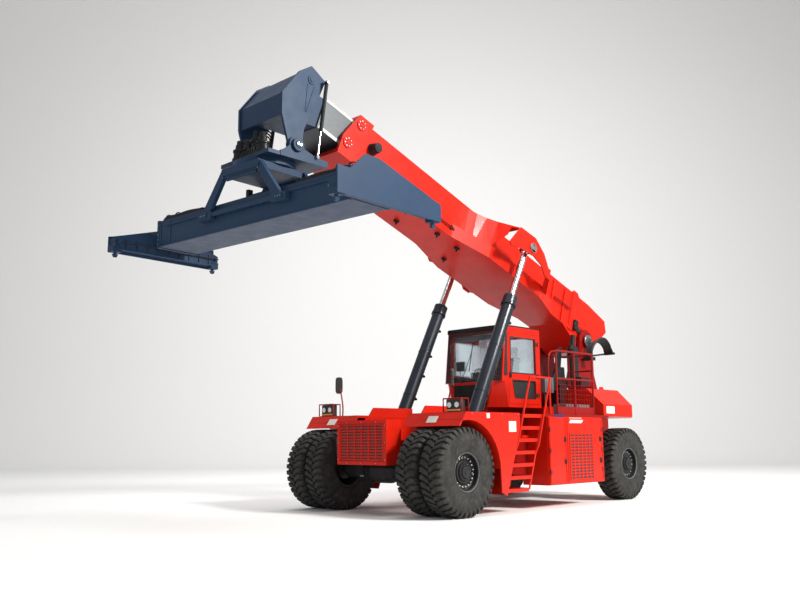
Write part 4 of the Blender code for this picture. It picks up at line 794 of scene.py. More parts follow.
def chassis_detail():
    """Access plates, cross tubes and hoses low on the machine."""
    under = Piece()
    under.box(-2.6, -1.5, -0.46, 0.46, 0.74, 0.79)
    under.box(-3.55, -2.75, -0.30, 0.30, 0.70, 1.05)
    under.bar((-3.5, 0, 0.95), (-5.7, 0, 0.86), 0.075, 20)
    under.done("drive_line", BLACK, "machine", bevel=0.006)
    for name, side in SIDES:
        bracket = Piece()
        for x in (-0.1, 0.1):
            for y in (0.52, 0.58):
                bracket.ring((x, side * y, AXLE_Z - 0.102), (0, 0, -1), 0.0, 1, 0.020, 0.030)
        bracket.done("axle_studs_" + name, STEEL, "machine", bevel=0.002)
        pins = Piece()
        pins.bar((-1.06, side * 1.146, 1.00), (-1.06, side * 1.170, 1.00), 0.080, 28)
        pins.ring((-1.06, side * 1.170, 1.00), (0, side, 0), 0.055, 4, 0.010, 0.010)
        pins.done("foot_pin_caps_" + name, STEEL, "machine", bevel=0.003)
    cans = Piece()
    for x in (-0.12, 0.12):
        cans.bar((x, -0.30, AXLE_Z - 0.16), (x, -0.30, AXLE_Z + 0.1), 0.05, 20)
        cans.bar((x, 0.30, AXLE_Z - 0.16), (x, 0.30, AXLE_Z + 0.1), 0.05, 20)
    cans.done("brake_cans", BLACK, "machine", bevel=0.006)


def ladder_and_rail():
    """Tread plates of the ladder and the mesh of the guard rail."""
    plates = Piece()
    foot_z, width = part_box("ladder")[0].z, 0.70
    lean = (-1.56 + 1.11) / (1.60 - 0.34)
    rise = (1.86 - foot_z) / 6
    for i in range(7):
        z = foot_z + 0.02 + rise * i * 0.98
        x = -1.15 + lean * (z - foot_z)
        for k in range(11):
            px = x - width + 0.012 + k * 0.061
            plates.box(px, px + 0.016, 1.58, 2.05, z + 0.010, z + 0.017)
        plates.box(x - width, x - 0.02, 2.0495, 2.066, z - 0.055, z + 0.012)
    plates.done("step_treads", ORANGE, "machine", bevel=0.001)
    wall = Piece()
    wall.box(-2.53, -1.62, 1.556, 1.562, 0.62, 1.80)
    wall.done("step_back", RED, "machine", bevel=0.001)
    y = 1.99
    flange = Piece()
    for x in (-3.05, -3.72, -4.45):
        flange.box(x - 0.05, x + 0.05, y - 0.05, y + 0.05, 1.8805, 1.892)
        flange.ring((x, y, 1.892), (0, 0, 1), 0.048, 4, 0.008, 0.008, math.pi / 4)
    flange.done("post_feet", RED, "machine", bevel=0.002)
    rails = []
    for z in (3.20, 2.85, 2.50):
        rails.append([world(-4.47, 1.97, z), world(-4.52, 1.90, z), world(-4.52, 1.35, z)])
    rails.append([world(-4.52, 1.35, 3.215), world(-4.52, 1.35, 1.885)])
    pipe("rear_rail", rails, 0.020, RED, "machine", smooth=False)
    front = [[world(-2.74, 2.00, 2.60), world(-2.76, 2.00, 2.98), world(-2.84, 1.99, 3.14),
              world(-3.04, 1.99, 3.19)]]
    pipe("front_rail", front, 0.018, RED, "machine")
    net = Piece()
    for i in range(14):
        x = -3.09 - i * 0.10
        net.box(x - 0.004, x + 0.004, 1.972, 1.980, 2.045, 2.60)
    for i in range(6):
        z = 2.10 + i * 0.10
        net.box(-4.43, -3.07, 1.972, 1.980, z - 0.004, z + 0.004)
    net.done("rail_mesh", RED, "machine", bevel=0.0)
    blue = Piece()
    blue.box(-3.16, -2.86, 2.0505, 2.056, 1.8, 1.872)
    blue.done("blank_plate_blue", BLUE, "machine", bevel=0.001)
    pale = Piece()
    pale.plate([(-3.30, 1.70), (-3.34, 1.75), (-3.34, 1.78), (-3.30, 1.81), (-3.76, 1.81), (-3.82, 1.77),
                (-3.82, 1.74),
                (-3.76, 1.70)], 2.0910, 2.0940)
    pale.done("blank_plate_door", PLATE, "louvre_door", bevel=0.0)


def counterweight_detail():
    """Seams, lifting lugs and blank plates of the counterweight."""
    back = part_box("counterweight")[0].x - MX
    lamps = Piece()
    reds = Piece()
    for side in (1, -1):
        lamps.box(back - 0.02, back + 0.02, *span(side, 0.92, 1.24), 1.93, 2.07)
        reds.box(back - 0.032, back - 0.018, *span(side, 0.94, 1.08), 1.95, 2.05)
    lamps.done("tail_lamp_boxes", PLASTIC, "machine", bevel=0.005)
    reds.done("tail_lamp_lenses", RED_LENS, "machine", bevel=0.005)
    amber = Piece()
    for side in (1, -1):
        amber.box(back - 0.032, back - 0.018, *span(side, 1.10, 1.22), 1.95, 2.05)
    amber.done("tail_indicators", AMBER, "machine", bevel=0.005)
    lifting = Piece()
    for x in (-5.3, -6.3):
        for side in (1, -1):
            ring = [(x - 0.10, 2.495), (x - 0.06, 2.60), (x + 0.06, 2.60), (x + 0.10, 2.495)]
            lifting.plate(ring, side * 1.10 - 0.02, side * 1.10 + 0.02)
    lifting.done("lifting_lugs", ORANGE, "machine", bevel=0.008)
    plates = Piece()
    for side in (1, -1):
        plates.box(-5.45, -5.10, *span(side, 1.9205, 1.925), 1.93, 2.09)
    plates.done("blank_plates_weight", PLATE, "machine", bevel=0.001)


def tower_detail():
    """Bolted pin covers, hydraulic blocks and the hoses that rise inside the tower."""
    for name, side in SIDES:
        cover = Piece()
        y = 0.611 + 0.051
        cover.bar((PIVOT.x - MX, side * y, PIVOT.z), (PIVOT.x - MX, side * (y + 0.03), PIVOT.z), 0.165,
                  40, 0.158)
        cover.ring((PIVOT.x - MX, side * (y + 0.028), PIVOT.z), (0, side, 0), 0.128, 8, 0.014, 0.014)
        cover.done("pivot_cover_" + name, STEEL, "machine", bevel=0.004)
    block = Piece()
    block.box(-5.05, -4.75, 0.66, 0.95, 2.12, 2.62)
    block.box(-5.45, -5.10, 0.95, 1.30, 2.501, 2.78)
    for i in range(5):
        block.bar((-5.06, 0.70 + i * 0.05, 2.56), (-5.14, 0.70 + i * 0.05, 2.56), 0.018, 12)
    block.done("valve_block", BLACK, "machine", bevel=0.006)
    cabinet = Piece()
    cabinet.box(-4.90, -3.95, 1.28, 1.62, 1.8805, 2.12)
    cabinet.box(-4.57, -4.23, 0.66, 0.90, 2.41, 2.76)
    cabinet.bar((-4.40, 0.78, 1.881), (-4.40, 0.78, 2.42), 0.024, 16)
    cabinet.box(-4.51, -4.29, 0.895, 0.91, 2.45, 2.72)
    cabinet.done("control_cabinet", GREY, "machine", bevel=0.010)
    stack = Piece()
    x, y = -5.22, 1.02
    stack.bar((x, y, 2.44), (x, y, 3.46), 0.135, 36)
    stack.bar((x, y, 3.44), (x, y, 3.54), 0.135, 36, 0.060)
    stack.bar((x, y, 3.52), (x - 0.05, y, 3.78), 0.060, 24)
    for z in (2.62, 3.26):
        stack.bar((x, y, z), (x, y, z + 0.04), 0.142, 36)
        stack.box(x - 0.14, x + 0.02, 0.70, y, z, z + 0.04)
    stack.plate([(-4.96, 2.45), (-4.60, 2.45), (-4.98, 3.50), (-5.14, 3.50)], 0.76, 0.79)
    stack.plate([(-5.10, 2.47), (-4.40, 2.47), (-4.75, 3.02), (-5.05, 3.02)], 0.86, 0.89)
    stack.done("exhaust_stack", BLACK, "machine", bevel=0.006)
    loops = []
    for i in range(5):
        y = 0.70 + 0.045 * i
        loops.append([world(-6.30, y, 3.36 + 0.03 * i), world(-6.50, y + 0.02, 3.66 + 0.02 * i),
                      world(-6.86, y + 0.02, 3.76 + 0.02 * i), world(-7.14, y, 3.66 + 0.015 * i),
                      world(-7.26, y - 0.02, 3.54 + 0.01 * i)])
    pipe("tail_loops", loops, 0.022, HOSE, "machine")
    ends = Piece()
    for i in range(5):
        y = 0.68 + 0.045 * i
        ends.bar((-7.24, y, 3.57 + 0.01 * i), (-7.30, y, 3.49 + 0.01 * i), 0.030, 6)
        ends.bar((-6.28, y + 0.02, 3.30 + 0.03 * i), (-6.31, y + 0.02, 3.38 + 0.03 * i), 0.030, 6)
    ends.box(-7.34, -7.26, 0.64, 0.92, 3.46, 3.52)
    ends.box(-6.40, -6.22, 0.6620, 0.92, 3.26, 3.34)
    ends.bar((-7.30, 0.66, 3.49), (-6.60, 0.66, 3.40), 0.022, 14)
    ends.done("tail_couplings", BLACK, "machine", bevel=0.003)
    hoses = []
    for i in range(6):
        y = 0.70 + i * 0.045
        hoses.append([world(-5.12, y, 2.56), world(-5.36, y, 2.70), world(-5.55, y - 0.02, 3.05),
                      world(-5.60, y - 0.03, 3.36 + 0.02 * i), world(-5.72, 0.63 + 0.012 * i, 3.52)])
    pipe("tower_hoses", hoses, 0.019, HOSE, "machine")
    shell = Piece()
    shell.box(-5.80, -5.66, 0.6115, 0.74, 3.44, 3.60)
    shell.done("tower_hose_block", BLACK, "machine", bevel=0.006)


# ------------------------------------------------------------------ cab
def cab():
    """Seals, roof edge, wipers and doors of the cab."""
    _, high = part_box("cab_shell")
    half = high.y
    top = high.z
    seals = Piece()
    slope = (2.90 - 2.76) / (3.82 - 2.61)
    z0, z1 = 2.66, 3.70

    def front(z):
        return -2.76 - slope * (z - 2.61)

    for y in (-0.745, 0.745):
        seals.plate([(front(z0) + 0.002, z0), (front(z0) + 0.014, z0), (front(z1) + 0.014, z1),
                     (front(z1) + 0.002, z1)],
                    y - 0.03, y + 0.03)
    for z in (z0 - 0.012, z1 + 0.012):
        seals.plate([(front(z) + 0.002, z - 0.024), (front(z) + 0.014, z - 0.024),
                     (front(z) + 0.014, z + 0.024),
                     (front(z) + 0.002, z + 0.024)], -0.77, 0.77)
    seals.done("screen_seals", PLASTIC, "machine", bevel=0.003)

    cowl = Piece()
    cowl.box(-2.6595, -2.652, -0.46, 0.46, 2.10, 2.56)
    for i in range(5):
        for y in (-0.3, 0.3):
            cowl.bar((-2.654, y, 2.18 + 0.08 * i), (-2.646, y, 2.18 + 0.08 * i), 0.016, 12)
    cowl.done("cowl_panel", BLACK, "machine", bevel=0.004)

    roof = Piece()
    roof.box(-4.19, -2.86, -0.79, 0.79, top - 0.001 + 0.001, top + 0.035)
    roof.box(-2.93, -2.855, -0.80, 0.80, top - 0.07, top + 0.012)
    roof.done("roof_panel", BLACK, "machine", bevel=0.012)
    for name, side in SIDES:
        pane = Piece()
        y = side * (half + 0.0006)
        outline = [(-2.96, 2.74), (-2.83, 2.74), (-2.925, 3.66), (-2.98, 3.66)]
        pane.plate(outline, y, y + side * 0.006)
        pane.done("quarter_glass_" + name, PLASTIC, "machine", bevel=0.001)
        door_detail(name, side, half)

    wiper = Piece()
    for y, swing in ((-0.30, 0.24), (0.34, 0.20)):
        zb, zt = 2.66, 3.30
        wiper.bar((front(zb) + 0.03, y, zb), (front(zt) + 0.028, y + swing, zt), 0.008, 10)
        wiper.bar((front(2.86) + 0.022, y + swing - 0.05, 2.86),
                  (front(3.52) + 0.022, y + swing + 0.02, 3.52), 0.010, 10)
        wiper.bar((front(zb) + 0.005, y, zb), (front(zb) + 0.05, y, zb), 0.022, 16)
    wiper.done("wipers", PLASTIC, "machine", bevel=0.002)

    cab_inside()


def door_detail(name, side, half):
    """Seals round both door windows, the handle, the hinges and a grab bar."""
    body = "cab_door_" + name
    low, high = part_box("cab_door_" + name)
    x0, x1 = low.x - MX, high.x - MX
    y = side * (half + 0.0006)
    depth = side * 0.010
    waist = 2.76
    seals = Piece()

    def border(points, width):
        cx = sum(p[0] for p in points) / len(points)
        cz = sum(p[1] for p in points) / len(points)
        grown = [(px + width * (1 if px > cx else -1), pz + width * (1 if pz > cz else -1)) for px,
                 pz in points]
        for i in range(len(points)):
            j = (i + 1) % len(points)
            seals.plate([points[i], points[j], grown[j], grown[i]], y, y + depth)

    border([(x0 + 0.10, waist + 0.06), (x1 - 0.08, waist + 0.06), (x1 - 0.08, high.z - 0.10),
            (x0 + 0.10, high.z - 0.10)],
           0.022)
    border([(x0 + 0.12, low.z + 0.14), (x1 - 0.22, low.z + 0.14), (x1 - 0.14, waist - 0.12),
            (x0 + 0.12, waist - 0.12)],
           0.022)
    seals.done("door_seals_" + name, PLASTIC, body, bevel=0.002)
    # Painted shade: a black sheet set 4 cm inside the lower door window stands in for the shaded cab floor
    # seen through the glass.
    tone = Piece()
    inner = side * (half - 0.040)
    tone.plate([(x0 + 0.125, low.z + 0.145), (x1 - 0.225, low.z + 0.145), (x1 - 0.145, waist - 0.125),
                (x0 + 0.125, waist - 0.125)], inner, inner + side * 0.012)
    tone.done("lower_door_painted_shade_" + name, PLASTIC, body, bevel=0.002)
    grip = Piece()
    gx = x1 - 0.045
    grip.box(gx - 0.03, gx + 0.03, *sorted((y, y + side * 0.018)), waist - 0.06, waist + 0.06)
    grip.bar((gx, y + side * 0.014, waist + 0.03), (gx, y + side * 0.04, waist + 0.03), 0.018, 16)
    grip.box(gx - 0.013, gx + 0.013, *sorted((y + side * 0.030, y + side * 0.042)), waist - 0.05,
             waist + 0.03)
    grip.done("door_handle_" + name, PLASTIC, body, bevel=0.004)
    hinges = Piece()
    pins = Piece()
    for z in (low.z + 0.20, waist, high.z - 0.20):
        hinges.box(x0 + 0.022, x0 + 0.090, *sorted((y, y + side * 0.008)), z - 0.04, z + 0.04)
        pins.bar((x0 - 0.008, y + side * 0.009, z - 0.05), (x0 - 0.008, y + side * 0.009, z + 0.05),
                 0.008, 14)
    hinges.done("cab_hinges_" + name, BLACK, body, bevel=0.002)
    pins.done("cab_hinge_pins_" + name, BLACK, "machine", bevel=0.001)


def cab_inside():
    """Operator's cushions, console, joystick and pedals."""
    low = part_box("operator_seat")[0]
    cushions = Piece()
    cx = low.x - MX
    floor = low.z
    cushions.box(cx + 0.15, cx + 0.62, -0.25, 0.25, floor + 0.40, floor + 0.53)
    cushions.plate([(cx + 0.13, floor + 0.50), (cx + 0.27, floor + 0.50), (cx + 0.17, floor + 1.10),
                    (cx + 0.01, floor + 1.10)], -0.235, 0.235)
    cushions.plate([(cx, floor + 1.12), (cx + 0.12, floor + 1.12), (cx + 0.09, floor + 1.34),
                    (cx - 0.02, floor + 1.34)],
                   -0.13, 0.13)
    pad = cushions.done("operator_cushions", CLOTH, "machine", bevel=0.045)
    pad.modifiers["edges"].segments = 4
    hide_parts("operator_seat")
    stand = Piece()
    stand.box(cx + 0.20, cx + 0.56, -0.18, 0.18, floor, floor + 0.36)
    for i in range(5):
        stand.box(cx + 0.18, cx + 0.58, -0.20, 0.20, floor + 0.05 + i * 0.06, floor + 0.075 + i * 0.06)
    for side in (1, -1):
        stand.box(cx + 0.12, cx + 0.52, *span(side, 0.29, 0.37), floor + 0.62, floor + 0.67)
        stand.box(cx + 0.12, cx + 0.20, *span(side, 0.30, 0.36), floor + 0.40, floor + 0.63)
        stand.bar((cx + 0.47, side * 0.33, floor + 0.66), (cx + 0.49, side * 0.33, floor + 0.80), 0.020,
                  14, 0.026)
    stand.done("operator_stand", PLASTIC, "machine", bevel=0.008)
    console = Piece()
    console.box(-3.02, -2.84, -0.50, 0.50, 2.55, 2.66)
    console.box(-3.02, -2.96, -0.22, 0.22, 2.66, 2.86)
    console.box(-3.35, -2.90, -0.70, -0.56, 2.70, 2.76)
    console.box(-3.00, -2.94, -0.62, -0.40, 2.90, 3.12)
    console.bar((-2.98, -0.52, 2.66), (-2.97, -0.52, 2.92), 0.014, 12)
    console.done("console", PLASTIC, "machine", bevel=0.012)
    blind = Piece()
    blind.box(-3.05, -2.97, -0.66, 0.66, 3.58, 3.68)
    blind.done("sun_blind", GREY, "machine", bevel=0.02)


# ------------------------------------------------------------------ boom
def boom_detail():
    """Seams, pads, bolts and pipes along both boom stages."""
    nose = 8.78
    for name, side in SIDES:
        y = side * 0.5355
        discs = Piece(BOOM_AXES, on_boom)
        bolts = Piece(BOOM_AXES, on_boom)
        for u, v in ((nose - 0.36, 0.87), (nose - 0.16, 0.34)):
            discs.bar((u, y, v), (u, y + side * 0.020, v), 0.115, 36, 0.110)
            discs.bar((u, y + side * 0.018, v), (u, y + side * 0.034, v), 0.045, 28, 0.042)
            bolts.ring((u, y + side * 0.018, v), (0, side, 0), 0.082, 7, 0.016, 0.018)
        boss_y = side * 0.5005
        boss = Piece(BOOM_AXES, on_boom)
        boss.bar((nose - 0.80, boss_y, 0.60), (nose - 0.80, boss_y + side * 0.09, 0.60), 0.125, 44, 0.105)
        boss.bar((nose - 0.80, boss_y + side * 0.08, 0.60), (nose - 0.80, boss_y + side * 0.19, 0.60),
                 0.110, 44, 0.098)
        boss.bar((nose - 0.80, boss_y + side * 0.18, 0.60), (nose - 0.80, boss_y + side * 0.20, 0.60),
                 0.060, 32)
        boss.done("nose_roller_" + name, BLACK, "outer_boom", bevel=0.008)
        discs.done("nose_discs_" + name, ORANGE, "outer_boom", bevel=0.006)
        bolts.done("nose_bolts_" + name, STEEL, "outer_boom", bevel=0.0015)
        trim = Piece(BOOM_AXES, on_boom)
        outline = [(nose - 0.50, 0.045), (nose - 0.47, 0.045), (nose - 0.61, 1.06), (nose - 0.65, 1.06)]
        trim.plate(outline, y, y + side * 0.006)
        trim.box(nose - 1.9, nose - 0.66, *span(side, 0.5005, 0.506), 0.13, 0.155)
        trim.done("nose_trim_" + name, ORANGE, "outer_boom", bevel=0.002)
        lines = []
        for k in range(2):
            v = 0.27 + 0.035 * k
            lines.append([on_boom(5.30, side * 0.524, v), on_boom(7.60, side * 0.524, v),
                          on_boom(7.85, side * 0.524, v + 0.05)])
            lines.append([on_boom(0.80, side * 0.545, 0.52 + 0.04 * k),
                          on_boom(1.50, side * 0.545, 0.52 + 0.04 * k)])
        pipe("boom_pipes_" + name, lines, 0.011, RED, "outer_boom", smooth=False)
        clamps = Piece(BOOM_AXES, on_boom)
        for i in range(6):
            u = 5.40 + i * 0.42
            clamps.box(u - 0.025, u + 0.025, *span(side, 0.5005, 0.543), 0.245, 0.33)
            clamps.ring((u, side * 0.543, 0.2875), (0, side, 0), 0.0, 1, 0.008, 0.008)
        clamps.done("pipe_clamps_" + name, BLACK, "outer_boom", bevel=0.003)
        pin = Piece(BOOM_AXES, on_boom)
        pin.box(3.36, 3.52, *span(side, 1.2305, 1.246), 0.66, 0.78)
        pin.ring((3.44, side * 1.246, 0.72), (0, side, 0), 0.060, 4, 0.012, 0.012, math.pi / 4)
        pin.bar((3.44, side * 1.2005, 0.72), (3.44, side * 1.2300, 0.72), 0.112, 40)
        pin.done("lift_pin_cap_" + name, STEEL, "outer_boom", bevel=0.003)
        ribs = Piece(BOOM_AXES, on_boom)
        for u in (1.05, 1.55):
            ribs.box(u, u + 0.04, *span(side, 0.5005, 0.54), 0.13, 0.97)
        ribs.plate([(0.10, 0.30), (0.52, 0.30), (0.52, 0.92), (0.10, 0.92)], side * 0.5005, side * 0.512)
        ribs.box(6.55, 6.60, *span(side, 0.5005, 0.512), 0.90, 0.98)
        ribs.done("boom_ribs_" + name, ORANGE, "outer_boom", bevel=0.004)
    top = Piece(BOOM_AXES, on_boom)
    for u in (2.0, 3.2, 4.6, 6.0, 7.2):
        top.box(u, u + 0.09, -0.06, 0.06, 1.0005, 1.03)
    top.bar((1.6, 0.30, 1.022), (nose - 0.75, 0.30, 1.022), 0.013, 12)
    top.bar((1.6, 0.24, 1.022), (nose - 0.75, 0.24, 1.022), 0.013, 12)
    top.done("top_line", BLACK, "outer_boom", bevel=0.003)
    drops = Piece(BOOM_AXES, on_boom)
    for u, y in ((6.55, 0.28), (6.30, -0.22), (5.55, 0.30), (4.9, 0.32), (4.6, -0.30)):
        drops.box(u - 0.05, u + 0.05, y - 0.04, y + 0.04, 0.055, 0.0995)
        drops.bar((u, y, 0.055), (u, y, 0.0), 0.018, 12)
    drops.done("grease_points", BLACK, "outer_boom", bevel=0.003)
    tail()


def tail():
    """Work lamp bracket on the tail's top, and the hose loop at the back with its block."""
    lamp = Piece(BOOM_AXES, on_boom)
    lamp.plate([(0.35, 1.03), (0.75, 1.02), (0.62, 1.14), (0.48, 1.14)], 0.34, 0.48)
    lamp.done("tail_lamp_bracket", ORANGE, "outer_boom", bevel=0.006)
    beacon = Piece(BOOM_AXES, on_boom)
    beacon.bar((0.55, 0.41, 1.13), (0.55, 0.41, 1.19), 0.035, 20, 0.030)
    beacon.done("tail_beacon", AMBER, "outer_boom", bevel=0.008)
    hoses = []
    for i in range(5):
        hoses.append([on_boom(0.45, 0.515, 0.18 + i * 0.03), on_boom(0.10, 0.535, 0.10 + i * 0.02),
                      on_boom(-0.25, 0.53, -0.02 + i * 0.02), on_boom(-0.50, 0.50, 0.02 + i * 0.02)])
    pipe("tail_hoses", hoses, 0.016, HOSE, "outer_boom")
    block = Piece(BOOM_AXES, on_boom)
    block.box(0.42, 0.56, 0.5005, 0.60, 0.12, 0.36)
    block.done("tail_block", BLACK, "outer_boom", bevel=0.006)


def head_detail():
    """Pins, covers and hoses of the boom's head."""
    hp = HEAD_PIN
    hx = hp.x - MX
    for name, side in SIDES:
        y = side * 0.6505
        trim = Piece()
        trim.bar((hx - 0.36, y, hp.z + 1.33), (hx - 0.36, y + side * 0.016, hp.z + 1.33), 0.085, 36, 0.078)
        trim.bar((hx - 0.36, y + side * 0.014, hp.z + 1.33), (hx - 0.36, y + side * 0.030, hp.z + 1.33),
                 0.040, 28)
        trim.plate([(hx - 0.30, hp.z + 1.24), (hx - 0.27, hp.z + 1.25), (hx - 0.21, hp.z + 0.72),
                    (hx - 0.235, hp.z + 0.70)],
                   y, y + side * 0.008)
        trim.plate([(hx - 0.46, hp.z + 1.24), (hx - 0.43, hp.z + 1.24), (hx - 0.235, hp.z + 0.70),
                    (hx - 0.25, hp.z + 0.69)],
                   y, y + side * 0.008)
        trim.done("head_weld_" + name, SLATE, "inner_boom", bevel=0.003)
    for name, side in SIDES:
        cap = Piece()
        y = side * 0.74
        cap.bar((hx, y, hp.z), (hx, y + side * 0.022, hp.z), 0.125, 44, 0.120)
        cap.bar((hx, y + side * 0.020, hp.z), (hx, y + side * 0.034, hp.z), 0.070, 36, 0.066)
        cap.done("hinge_cap_" + name, SLATE, "inner_boom", bevel=0.004)
        lock = Piece()
        lock.box(hx - 0.055, hx + 0.055, *sorted((y + side * 0.034, y + side * 0.046)), hp.z - 0.018,
                 hp.z + 0.018)
        lock.ring((hx, y + side * 0.034, hp.z), (0, side, 0), 0.040, 2, 0.010, 0.018)
        lock.done("hinge_lock_" + name, BRIGHT, "inner_boom", bevel=0.002)
        ends = Piece()
        for point in ((2.21, 7.87),):
            ends.bar((point[0], side * 0.762, point[1]), (point[0], side * 0.778, point[1]), 0.030, 24)
        ends.done("damper_caps_" + name, STEEL, "inner_boom", bevel=0.002)
    tracks = Piece(BOOM_AXES, on_boom)
    for _, side in SIDES:
        for v0, v1 in ((0.885, 0.940), (0.275, 0.345)):
            tracks.box(6.9, 9.27, *span(side, 0.4205, 0.4245), v0, v1)
    tracks.done("wear_tracks", TRACK, "inner_boom", bevel=0.001)
    lines = Piece(BOOM_AXES, on_boom)
    for y in (-0.30, -0.22, 0.22, 0.30):
        lines.bar((8.95, y, 0.962), (9.26, y, 0.962), 0.012, 12)
    lines.box(8.92, 8.98, -0.34, 0.34, 0.9455, 0.975)
    lines.done("inner_boom_pipes", BLACK, "inner_boom", bevel=0.003)


def yoke_detail():
    """Slew motors, ring bolts, valve block and clamped hoses on the yoke."""
    hx, hz = HEAD_PIN.x - MX, HEAD_PIN.z
    plate_top = hz - 0.19
    motors = Piece()
    for y in (-0.34, 0.34):
        x = hx + 0.47
        motors.bar((x, y, plate_top), (x, y, plate_top + 0.05), 0.135, 36)
        motors.bar((x, y, plate_top + 0.045), (x, y, plate_top + 0.19), 0.112, 36, 0.105)
        motors.bar((x, y, plate_top + 0.18), (x, y, plate_top + 0.22), 0.120, 36)
        motors.bar((x, y, plate_top + 0.21), (x, y, plate_top + 0.32), 0.080, 32, 0.072)
        motors.bar((x, y, plate_top + 0.31), (x, y, plate_top + 0.40), 0.060, 8, 0.052)
        motors.ring((x, y, plate_top + 0.05), (0, 0, 1), 0.124, 12, 0.010, 0.016)
        motors.ring((x, y, plate_top + 0.22), (0, 0, 1), 0.104, 10, 0.009, 0.014)
    for y, x, high in ((0.06, hx + 0.40, 0.50), (-0.12, hx + 0.44, 0.30)):
        motors.bar((x, y, plate_top), (x, y, plate_top + high * 0.6), 0.085, 28, 0.080)
        motors.bar((x, y, plate_top + high * 0.58), (x, y, plate_top + high * 0.72), 0.105, 28)
        motors.bar((x, y, plate_top + high * 0.70), (x, y, plate_top + high), 0.060, 24, 0.050)
    motors.done("slew_motors", BLACK, "spreader_yoke", bevel=0.004)
    ring = Piece()
    ring.ring((SLEW.x - MX, 0, hz - 0.36 + 0.012), (0, 0, 1), 0.545, 40, 0.011, 0.020)
    ring.done("ring_bolts", STEEL, "spreader_yoke", bevel=0.001)
    valves = Piece()
    valves.box(hx + 0.12, hx + 0.34, -0.16, 0.16, plate_top, plate_top + 0.16)
    for i in range(6):
        valves.bar((hx + 0.34, -0.13 + i * 0.052, plate_top + 0.10),
                   (hx + 0.42, -0.13 + i * 0.052, plate_top + 0.10), 0.016, 12)
        valves.box(hx + 0.15, hx + 0.20, -0.15 + i * 0.052, -0.115 + i * 0.052, plate_top + 0.16,
                   plate_top + 0.24)
    valves.done("spreader_valves", BLACK, "spreader_yoke", bevel=0.004)
    hoses = []
    for i in range(6):
        y = -0.13 + i * 0.052
        hoses.append([world(hx + 0.42, y, plate_top + 0.10), world(hx + 0.50, y * 1.1, plate_top + 0.16),
                      world(hx + 0.54, y * 1.4, plate_top + 0.08), world(hx + 0.57, y * 1.5,
                                                                         plate_top - 0.01)])
    for side in (1, -1):
        for k in range(3):
            hoses.append([world(hx + 0.47, side * 0.34, plate_top + 0.36 - 0.03 * k),
                          world(hx + 0.30, side * (0.30 - 0.04 * k), plate_top + 0.46 - 0.03 * k),
                          world(hx + 0.16, side * (0.22 - 0.04 * k), plate_top + 0.36),
                          world(hx + 0.18, side * (0.12 - 0.03 * k), plate_top + 0.22)])
    pipe("yoke_hoses", hoses, 0.014, HOSE, "spreader_yoke")


